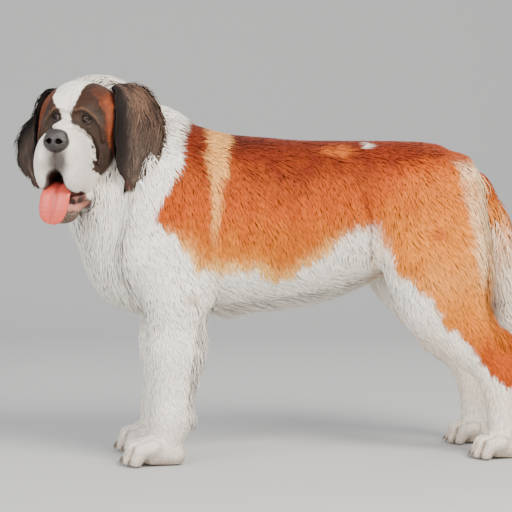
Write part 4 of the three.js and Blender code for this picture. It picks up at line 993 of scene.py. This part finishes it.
# Ears, from root to tip: middle line, turn of the width, width, bow and thickness.
EAR_OUT = {1: [68, 98, 121, 133, 133, 128, 127], -1: [72, 90, 102, 111, 120, 116, 100]}
EAR_UP = {1: [66, 54, 20, -22, -69, -113, -140], -1: [50, 42, 16, -22, -69, -113, -146]}
EAR_AHEAD = {1: [4, 8, 14, 24, 32, 38, 42], -1: [-14, -16, -16, -10, 0, 10, 18]}
EAR_TURN = {1: np.radians([50, 54, 58, 60, 60, 60, 60]), -1: np.radians([10, 10, 14, 25, 40, 48, 50])}
EAR_WIDE = [18, 36, 46, 50, 47, 32, 10]
EAR_BOW = [2, 8, 14, 20, 18, 12, 3]
EAR_THICK = [12, 13, 11, 9, 8, 6, 3]
EAR_LONG = 236
EAR_RINGS, EAR_ACROSS, EAR_TUFTS = 30, 15, 5500


def ear_face(side, t, a, level):
    """Places on an ear in the head's frame, with the way out of it and the way back across it."""
    middle = np.stack([EAR_AHEAD[side], np.multiply(EAR_OUT[side], side), EAR_UP[side]], 1)
    held = np.minimum(t, 1)
    on = unit(curve(middle, held + 0.01) - curve(middle, held - 0.01))
    at = curve(middle, held) + on * ((t - held) * EAR_LONG)[:, None]
    turn = curve(EAR_TURN[side], held)
    back = np.stack([-np.cos(turn), side * np.sin(turn), np.zeros(len(turn))], 1)
    back = unit(back - on * (on * back).sum(1)[:, None])
    out = unit(np.cross(back, on) * side)
    wide, bow = curve(EAR_WIDE, held), curve(EAR_BOW, held)
    place = at + back * (a * wide)[:, None] + out * (bow * (0.5 - a * a) + level)[:, None]
    return place, out, back


def under_ears():
    """Places spread over the inner faces of both ears."""
    down, across = np.linspace(0.1, 1.04, EAR_RINGS), np.linspace(-1, 1, EAR_ACROSS)
    t, a = (part.ravel() for part in np.meshgrid(down, across))
    thick = curve(EAR_THICK, np.minimum(t, 1))
    return np.concatenate([on_head(ear_face(side, t, a, -0.5 * thick)[0]) for side in (1, -1)])


EAR_PLACES = under_ears()


def room_below_ears(p):
    """Distance from places near the head to the ears' inner faces."""
    far = np.full(len(p), 200.0)
    near = np.flatnonzero((p[:, 0] < -190) & (p[:, 2] > 480))
    for start in range(0, len(near), 4000):
        some = near[start:start + 4000]
        far[some] = size_of(p[some][:, None, :] - EAR_PLACES[None]).min(1)
    return far


def grow(name, roots, steps, slot, wave):
    """Tufts that follow the lie over the skin from their roots and rise to their own height."""
    n = len(roots)
    roots = settle(skin, roots, 1, 4)
    way, length, width, height, fall = coat_plan(roots)
    length = length * RNG.uniform(0.75, 1.2, n)
    width = width * RNG.uniform(0.75, 1.25, n)
    height = height * RNG.uniform(0.6, 1.12, n)
    height = np.minimum(height, np.maximum(room_below_ears(roots) - 9, 1.2))
    sway = RNG.normal(0, 0.16, n) + 0.35 * noise(roots, 45, 21) + 0.2 * noise(roots, 18, 22)
    phase = 3 * noise(roots, 40, 23) + RNG.normal(0, 0.5, n)
    p = roots.copy()
    path = np.empty((n, steps + 1, 3))
    outs = np.empty((n, steps + 1, 3))
    for k in range(steps + 1):
        g = slope(skin, p)
        out = unit(g)
        if k:
            back = g * (skin(p) / np.maximum((g * g).sum(1), 0.3))[:, None]
            p = p - back * np.minimum(1, 12 / np.maximum(size_of(back), 1e-6))[:, None]
        t = k / steps
        rise = height * (0.35 + 0.65 * t) if k else np.full(n, -1.5)
        path[:, k] = p + out * rise[:, None] + fall * t * t
        outs[:, k] = out
        heading = way - out * (way * out).sum(1)[:, None]
        flow = 0.3 + 0.7 * smooth(size_of(heading) / 0.45)
        heading = unit(heading)
        bend = sway + wave * np.sin(phase + 5 * t)
        heading = heading * np.cos(bend)[:, None] + np.cross(out, heading) * np.sin(bend)[:, None]
        p = p + heading * (length * flow / steps)[:, None]
        if k == (steps + 1) // 2:
            colour = skin_colour(p)
    path[:, :, 2] = np.maximum(path[:, :, 2], 0.8)
    widths = width[:, None] * np.array(BLADE_WIDTHS[steps])[None]
    plant(name, path, outs, widths, colour, unwrap(roots), slot, roots[:, 0] + 0.001 * roots[:, 2])


def clear_of_face(p):
    """Leaves out hair in the mouth, on the nose pad, at the eyes and under the feet."""
    q = to_head(p)
    keep = (mouth(q) > 3.5) | ((on_lower_jaw(q) > 0.5) & (q[:, 2] < -211))
    keep &= nose(q) > -0.5
    for side in (1, -1):
        keep &= size_of(q - np.array([EYE_AHEAD + 3, side * EYE_OUT, EYE_UP])) > EYE_RADIUS + 3.0
    return keep & (p[:, 2] > 7)


# Square millimetres to a tuft, by height on the legs and by distance ahead on the face.
LEG_HEIGHTS, LEG_DENSITIES = [60, 120, 330, 430], [1 / 11, 1 / 17, 1 / 23, 0]
FACE_STATIONS, FACE_DENSITIES = [-90, -40, 30, 80, 180], [1 / 30, 1 / 18, 1 / 10, 1 / 6.2, 1 / 4.8]
MIDDLE_SPACING, LONG_SPACING, TAIL_SPACING = 18.5, 17.5, 18


def density_of(kind):
    def density(p):
        q = to_head(p)
        on_face = face_share(p, q)
        long = above(np.max(long_shares(p), axis=0), 0.35, 0.3)
        off_tail = tail(p) > body(p) - 6
        if kind == "short":
            amount = np.interp(p[:, 2], LEG_HEIGHTS, LEG_DENSITIES) * (1 - on_face)
            amount = (amount + np.interp(q[:, 0], FACE_STATIONS, FACE_DENSITIES) * on_face) * (1 - long)
        elif kind == "coat":
            amount = np.interp(p[:, 2], [330, 430], [0, 1 / MIDDLE_SPACING])
            amount = amount * (1 - on_face) * (1 - long) * off_tail
        else:
            off_plume = off_tail | (p[:, 0] <= 470)
            amount = np.where(off_plume, long * (1 - on_face) / LONG_SPACING, 1 / TAIL_SPACING)
        return THIN * amount
    return density


for part in ("body", "head"):
    for kind, steps, wave in (("short", 2, 0.0), ("coat", 2, 0.12), ("long", 3, 0.3)):
        roots = scatter(*SKINS[part], density_of(kind))
        roots = roots[(past_head_base(roots) < 2) == (part == "body")]
        roots = roots[clear_of_face(roots)]
        if len(roots):
            grow(f"{kind}_{part}", roots, steps, SLOTS[part], wave)


# Lofts: rings of corners joined into quads and closed at both ends.
def ring_quads(count, around):
    k, j = (part.ravel() for part in np.meshgrid(np.arange(count - 1), np.arange(around), indexing="ij"))
    after = (j + 1) % around
    return np.stack([k * around + j, k * around + after, (k + 1) * around + after, (k + 1) * around + j], 1)


def loft(rings):
    rings = np.asarray(rings, float)
    count, around = rings.shape[:2]
    places = np.concatenate([rings.reshape(-1, 3), rings[0].mean(0)[None], rings[-1].mean(0)[None]])
    quads = ring_quads(count, around)
    j = np.arange(around)
    after, last = (j + 1) % around, (count - 1) * around
    triangles = np.concatenate([
        quads[:, [0, 1, 2]], quads[:, [0, 2, 3]],
        np.stack([after, j, np.full(around, last + around)], 1),
        np.stack([last + j, last + after, np.full(around, last + around + 1)], 1)])
    a, b, c = places[triangles].transpose(1, 0, 2)
    return places, triangles if (a * np.cross(b, c)).sum() > 0 else triangles[:, ::-1]


def ear_colour(side, t, a, p):
    """Black front edge, brown streaks over the top that are partly a painted highlight, grey-brown curls
    painted lighter on the far ear as painted light, and a reddish tip.
    """
    streak = noise(p, [7, 7, 40], 31)
    curl = noise(p, [10, 10, 8], 32)
    # The far ear's grey curls are painted stronger than the near ear's, as painted light on the far ear.
    grey = 0.66 if side > 0 else 1.0
    top = below(t, 0.55, 0.35) * above(a, -0.5, 0.5)
    tint = np.tile(EAR_DARK, (len(t), 1))
    for colour, share in (
            (EAR_GREY, grey * smooth(0.35 + 0.7 * curl + 0.4 * streak + 0.35 * (a - 0.1))),
            # Partly painted highlight: lighter brown streaks over the upper ear, where light falls.
            (EAR_BROWN * 1.05, 0.8 * top * smooth(0.45 + 0.8 * streak + 0.3 * curl)),
            (MAHOGANY * 0.8, 0.7 * above(t, 0.78, 0.15) * smooth(0.4 + 0.5 * streak)),
            (EAR_DARK * 0.45, below(a - 0.2 * curl, -0.42, 0.25) * below(t, 0.8, 0.2))):
        tint = lay(tint, colour, share)
    return tint


def ear_skin(name, side):
    outer = np.linspace(-1, 1, EAR_ACROSS)
    inner = outer[-2:0:-1]
    a = np.concatenate([outer, inner])
    rings = []
    for t in np.linspace(0, 1, EAR_RINGS):
        half = curve(EAR_THICK, t)[0] * 0.5
        level = np.concatenate([half * (1 - 0.75 * outer ** 4), -half * (1 - 0.9 * inner ** 6)])
        rings.append(on_head(ear_face(side, np.full(len(a), t), a, level)[0]))
    places, faces = loft(rings)
    t = np.append(np.repeat(np.linspace(0, 1, EAR_RINGS), len(a)), [0, 1])
    tint = ear_colour(side, t, np.append(np.tile(a, EAR_RINGS), [0, 0]), places)
    # The ear's skin is painted darker than its hair, as shade under the hair.
    make(f"ear_skin_{name}", places, faces, SKIN, "dark_coat", tint * 0.8, [f"ear_{name}"])


def ear_hair(name, side):
    """Hair that runs down the outer face and past the edges in waves, with some on the inner face."""
    n = int(EAR_TUFTS * THIN)
    t0, a0 = RNG.random(n) ** 0.9, RNG.uniform(-1.03, 1.03, n)
    under = RNG.random(n) < 0.22
    long = np.interp(t0, [0, 0.3, 0.8, 1], [0.14, 0.24, 0.2, 0.1]) * RNG.uniform(0.7, 1.25, n)
    drift = RNG.normal(0, 0.07, n) + 0.1 * (a0 > 0.4)
    lump = noise(np.stack([t0 * 90, a0 * 45, np.full(n, 9.0)], 1), 12, 42)
    phase = 9 * noise(np.stack([t0 * 40, a0 * 40, np.full(n, 3.0)], 1), 11, 41)
    steps = 4
    path, outs = [], []
    for k in range(steps + 1):
        share = k / steps
        t = t0 + long * share
        a = a0 + drift * share + 0.075 * np.sin(5.5 * share + phase)
        a = np.where(t > 1, a * (1 - 0.35 * np.clip(t - 1, 0, 1)), a)
        half = curve(EAR_THICK, np.minimum(t, 1)) * 0.5 * (1 - 0.75 * np.minimum(np.abs(a), 1) ** 4)
        rise = (1.0 + (7.5 + 5 * lump) * share) * RNG.uniform(0.8, 1.0, n)
        level = np.where(under, -half - 0.5 - 2.5 * share, half - 0.8 + rise)
        level -= np.where(np.abs(a) > 1, 4 * (np.abs(a) - 1), 0)
        place, out, back = ear_face(side, t, a, level)
        path.append(on_head(place))
        facing = np.where(under[:, None], -out, out)
        outs.append(unit(facing + back * np.clip(a, -1, 1)[:, None] * 0.7) @ HEAD_AXES)
    # Tufts on the inner face are painted darker, as shade under the ear.
    tint = ear_colour(side, t0, a0, path[0]) * np.where(under, 0.75, 1.0)[:, None]
    widths = RNG.uniform(2.4, 4.8, n)[:, None] * np.array(BLADE_WIDTHS[steps])[None]
    uv = np.stack([0.01 + 0.13 * (side > 0) + 0.11 * (a0 * 0.5 + 0.5), 0.86 + 0.1 * t0], 1)
    plant(f"hair_ear_{name}", np.stack(path, 1), np.stack(outs, 1), widths, tint, uv, "dark_coat", t0)


for name, side in SIDES:
    ear_skin(name, side)
    ear_hair(name, side)


# Eyes: a ball with its iris and pupil in the colours of its corners.
def eyeball(name, side):
    centre = on_head([EYE_AHEAD, side * EYE_OUT, EYE_UP])
    gaze = unit(unit(np.array([0.97, side * 0.16, 0.02])) @ HEAD_AXES)
    across = unit(np.cross([0, 0, 1], gaze))
    up = np.cross(gaze, across)
    rows, turn = np.linspace(0.02, math.pi - 0.02, 40), turns(48)
    rim = np.cos(turn)[:, None] * across + np.sin(turn)[:, None] * up
    places, faces = loft([centre + EYE_RADIUS * (math.cos(b) * gaze + math.sin(b) * rim) for b in rows])
    angle = np.append(np.repeat(rows, len(turn)), [0, math.pi])
    tint = np.where((angle < 0.20)[:, None], PUPIL, IRIS)
    tint = lay(tint, IRIS_RIM, above(angle, 0.40, 0.12))
    tint = lay(tint, EYE_EDGE, above(angle, 0.7, 0.12))
    make(f"eyeball_{name}", places, faces, EYE, "eye", tint, [f"eye_{name}"])


# Rings of a lid from its edge outward: spread of the opening and distance from the eye's middle.
LID_RINGS = [(1.0, 12.8), (1.0, 13.7), (1.05, 14.5), (1.14, 15.1), (1.30, 15.6), (1.55, 15.6), (1.9, 14.2)]
OPEN_ACROSS, OPEN_UP, OPEN_DOWN = 0.84, 0.22, 0.34


def lids(name, side):
    """A thick curved plate over the ball with an almond opening that droops at its outer corner."""
    middle = np.array([EYE_AHEAD, side * EYE_OUT, EYE_UP])
    facing = unit(np.array([0.96, side * 0.26, -0.02]))
    across = unit(np.cross([0, 0, 1], facing)) * -side
    top = np.cross(facing, across) * -side
    if top[2] < 0:
        top = -top
    around = 64
    turn = turns(around)
    edge_across, lift = np.cos(turn) * OPEN_ACROSS, np.sin(turn)
    edge_up = np.where(lift > 0, lift * OPEN_UP * (1 - 0.25 * np.cos(turn)),
                       lift * OPEN_DOWN * (1 + 0.18 * np.cos(turn)))
    edge_up = edge_up - 0.16 * np.cos(turn) - 0.10
    rings = []
    for spread, radius in LID_RINGS:
        out = np.clip(edge_across * (1 + (spread - 1) * 0.9), -1.35, 1.35) * 0.82
        up = np.clip(edge_up * spread + np.sign(edge_up) * (spread - 1) * 0.42, -1.3, 1.3)
        direction = facing + across * np.tan(out)[:, None] + top * np.tan(up)[:, None]
        rings.append(on_head(middle + unit(direction) * radius))
    places, faces = np.concatenate(rings), ring_quads(len(rings), around)
    a, b, _, d = places[faces].transpose(1, 0, 2)
    normal = np.cross(b - a, d - a)
    if (normal[2 * around:] @ (facing @ HEAD_AXES)).sum() < 0:
        faces = faces[:, ::-1]
    make(f"lids_{name}", places, faces, LID, "dark_coat", np.repeat(np.array(LID_TINTS), around, 0))


for name, side in SIDES:
    eyeball(name, side)
    lids(name, side)

# Nose. The nostrils' shape is given from the middle of one nostril.
nostril = blend(2, limb([206, 1, -1], [192, 3, 0], 6.4, 4.6), limb([200, 6, -1], [190, 17, -3], 2.6, 1.3))


def nostrils(q):
    return nostril(np.stack([q[:, 0], np.abs(q[:, 1]) - 9, q[:, 2] - NOSE_UP - 2], 1))


def nose_skin(p):
    q = to_head(p)
    groove = 1.6 * bell(q[:, 1], 2.0) * below(q[:, 2], NOSE_UP + 12, 8)
    return np.maximum(nose(q) + groove - 0.2, -nostrils(q))


places, quads = wrap(nose_skin, [-530, -310, 650], [-400, -180, 790], NOSE_CELL)
q = to_head(places)
tint = np.tile(NOSE_TINTS[0], (len(places), 1))
tint = lay(tint, NOSE_TINTS[1], smooth(0.5 + 0.7 * noise(places, 11, 51)) * 0.6)
# Painted shade: the nose leather darkest inside the nostrils.
tint = lay(tint, NOSE_TINTS[2], below(nostrils(q), 1.2, 1.6))
tint = lay(tint, NOSE_TINTS[3], below(q[:, 2], -78, 8))
make("nose_leather", places, quads, NOSE, "nose_leather", tint, ["nose"])

# Tongue, from root to tip: middle line, half width and thickness.
TONGUE_MIDDLE = np.array([[64, 0, -158], [104, 0, -156], [134, -1, -158], [153, -4, -177], [157, -7, -204],
                          [155, -12, -230], [153, -14, -241]])
TONGUE_WIDE, TONGUE_THICK = [20, 24, 28, 32, 32, 25, 11], [6, 6.5, 7, 7, 6, 4.5, 3]


def tongue():
    """A flat tongue that hangs over the lip, with a furrow down its middle and fine ripples across."""
    lengths, turn = np.linspace(0, 1, 60), turns(36)
    s = np.cos(turn)
    rings = []
    for t in lengths:
        at = curve(TONGUE_MIDDLE, t)[0]
        on = unit(curve(TONGUE_MIDDLE, min(t + 0.01, 1)) - curve(TONGUE_MIDDLE, max(t - 0.01, 0)))[0]
        across = unit(np.array([0, 1, 0]) - on * on[1])
        top = np.cross(on, across)
        wide, thick = curve(TONGUE_WIDE, t)[0], curve(TONGUE_THICK, t)[0]
        h = np.sign(np.sin(turn)) * np.abs(np.sin(turn)) ** 0.7
        h = np.where(h > 0, h - 0.75 * bell(s, 0.16) * above(t, 0.1, 0.2), h)
        ripple = 0.12 * np.sin(t * 90 + 5 * s) * (h > 0)
        rings.append(on_head(at + across * (s * wide)[:, None] + top * (h * thick + ripple)[:, None]))
    places, faces = loft(rings)
    t = np.append(np.repeat(lengths, len(turn)), [0, 1])
    out = np.append(np.tile(s, len(lengths)), [0, 0])
    tint = np.tile(TONGUE_TINTS[0], (len(places), 1))
    tint = lay(tint, TONGUE_TINTS[1], below(np.abs(out), 0.22, 0.2) * 0.7)
    # Painted shade: the tongue darker towards its root, inside the mouth.
    tint = lay(tint, TONGUE_TINTS[2], below(t, 0.45, 0.3))
    make("tongue_flesh", places, faces, TONGUE, "tongue_skin", tint, ["tongue"])


tongue()

# Claws. The middle line is given ahead and up from the paw's middle.
CLAW_MIDDLE = [[68, 25], [86, 19.5], [96, 12], [99, 5.5]]
CLAW_HALF = 4.4


def claws():
    places, faces, tints = [], [], []
    lengths, turn = np.linspace(0, 1, 10), turns(14)
    for centre_x, centre_y, size, _ in PAWS:
        for out in TOE_OUT:
            rings = []
            for t in lengths:
                ahead, up = curve(CLAW_MIDDLE, t)[0]
                wide = CLAW_HALF * (1 - 0.72 * t ** 1.6)
                rise = np.sin(turn) * wide * 1.25
                rings.append(np.stack(on_paw(
                    centre_x, centre_y, size, ahead - toe_short(out) + rise * (0.35 * t),
                    out * 1.1 + np.cos(turn) * wide * 0.8, up + rise * (1 - 0.25 * t)), 1))
            some, triangles = loft(rings)
            faces.append(triangles + sum(len(part) for part in places))
            places.append(some)
            share = np.append(np.repeat(lengths, len(turn)), [0, 1])
            tints.append(lay(np.tile(CLAW_ROOT, (len(some), 1)), CLAW_TIP, share))
    make("claws", np.concatenate(places), np.concatenate(faces), CLAW, "white_coat", np.concatenate(tints))


claws()


# Stage, light and camera.
def backdrop():
    """A pale floor that sweeps up behind the dog."""
    finish = bpy.data.materials.new("studio_floor")
    finish.use_nodes = True
    shader = finish.node_tree.nodes["Principled BSDF"]
    shader.inputs["Base Color"].default_value = (0.5, 0.5, 0.49, 1)
    shader.inputs["Roughness"].default_value = 0.85
    half, start, radius, sunk = 9.0, 3.2, 2.2, 0.0005
    rows = [(-half, 0.0), (start, 0.0)]
    rows += [(start + radius * math.sin(a), radius * (1 - math.cos(a)))
             for a in np.linspace(0.05, math.pi / 2, 24)]
    rows.append((start + radius, half))
    corners = [(x, y, z - sunk) for y, z in rows for x in (-half, half)]
    faces = [(2 * k, 2 * k + 1, 2 * k + 3, 2 * k + 2) for k in range(len(rows) - 1)]
    mesh = bpy.data.meshes.new("sweep")
    mesh.from_pydata(corners, [], faces)
    mesh.polygons.foreach_set("use_smooth", np.ones(len(mesh.polygons), bool))
    mesh.materials.append(finish)
    piece = bpy.data.objects.new("studio_sweep", mesh)
    bpy.context.scene.collection.objects.link(piece)


def area_light(name, place, aim, size, power, colour=(1, 1, 1)):
    light = bpy.data.lights.new(name, "AREA")
    light.shape = "SQUARE"
    light.size = size
    light.energy = power
    light.color = colour
    lamp = bpy.data.objects.new(name, light)
    lamp.location = place
    lamp.rotation_euler = (Vector(aim) - Vector(place)).to_track_quat("-Z", "Y").to_euler()
    bpy.context.scene.collection.objects.link(lamp)


backdrop()
area_light("key_light", (1.5, -3.2, 3.3), (0, 0, 0.45), 2.0, 350, (1.0, 0.955, 0.89))
area_light("fill_light", (-2.9, -3.0, 1.5), (0, 0, 0.4), 2.6, 150, (0.98, 0.98, 1.0))
area_light("rim_light", (0.8, 2.4, 3.2), (0, 0, 0.5), 2.0, 34)

world = bpy.data.worlds.new("studio")
bpy.context.scene.world = world
world.use_nodes = True
world.node_tree.nodes["Background"].inputs["Color"].default_value = (0.92, 0.95, 1.0, 1)
world.node_tree.nodes["Background"].inputs["Strength"].default_value = 0.85

# The camera stands where the photo's did: its focal length and the horizon are in the photo's pixels.
PHOTO_WIDTH, FOCAL_LENGTH, HORIZON_ABOVE_MIDDLE = 512, 1744, 73
CAMERA_PLACE = np.array([-0.557, -3.961, 0.626])
VIEW_X, VIEW_Y = 0.1392, 0.9903
lens = bpy.data.cameras.new("photo_camera")
lens.sensor_width = 36
lens.lens = lens.sensor_width * FOCAL_LENGTH / PHOTO_WIDTH
camera = bpy.data.objects.new("photo_camera", lens)
camera.location = CAMERA_PLACE - SHIFT
down = math.atan(HORIZON_ABOVE_MIDDLE / FOCAL_LENGTH)
aim = Vector((VIEW_X * math.cos(down), VIEW_Y * math.cos(down), -math.sin(down)))
camera.rotation_euler = aim.to_track_quat("-Z", "Y").to_euler()
bpy.context.scene.collection.objects.link(camera)
bpy.context.scene.camera = camera
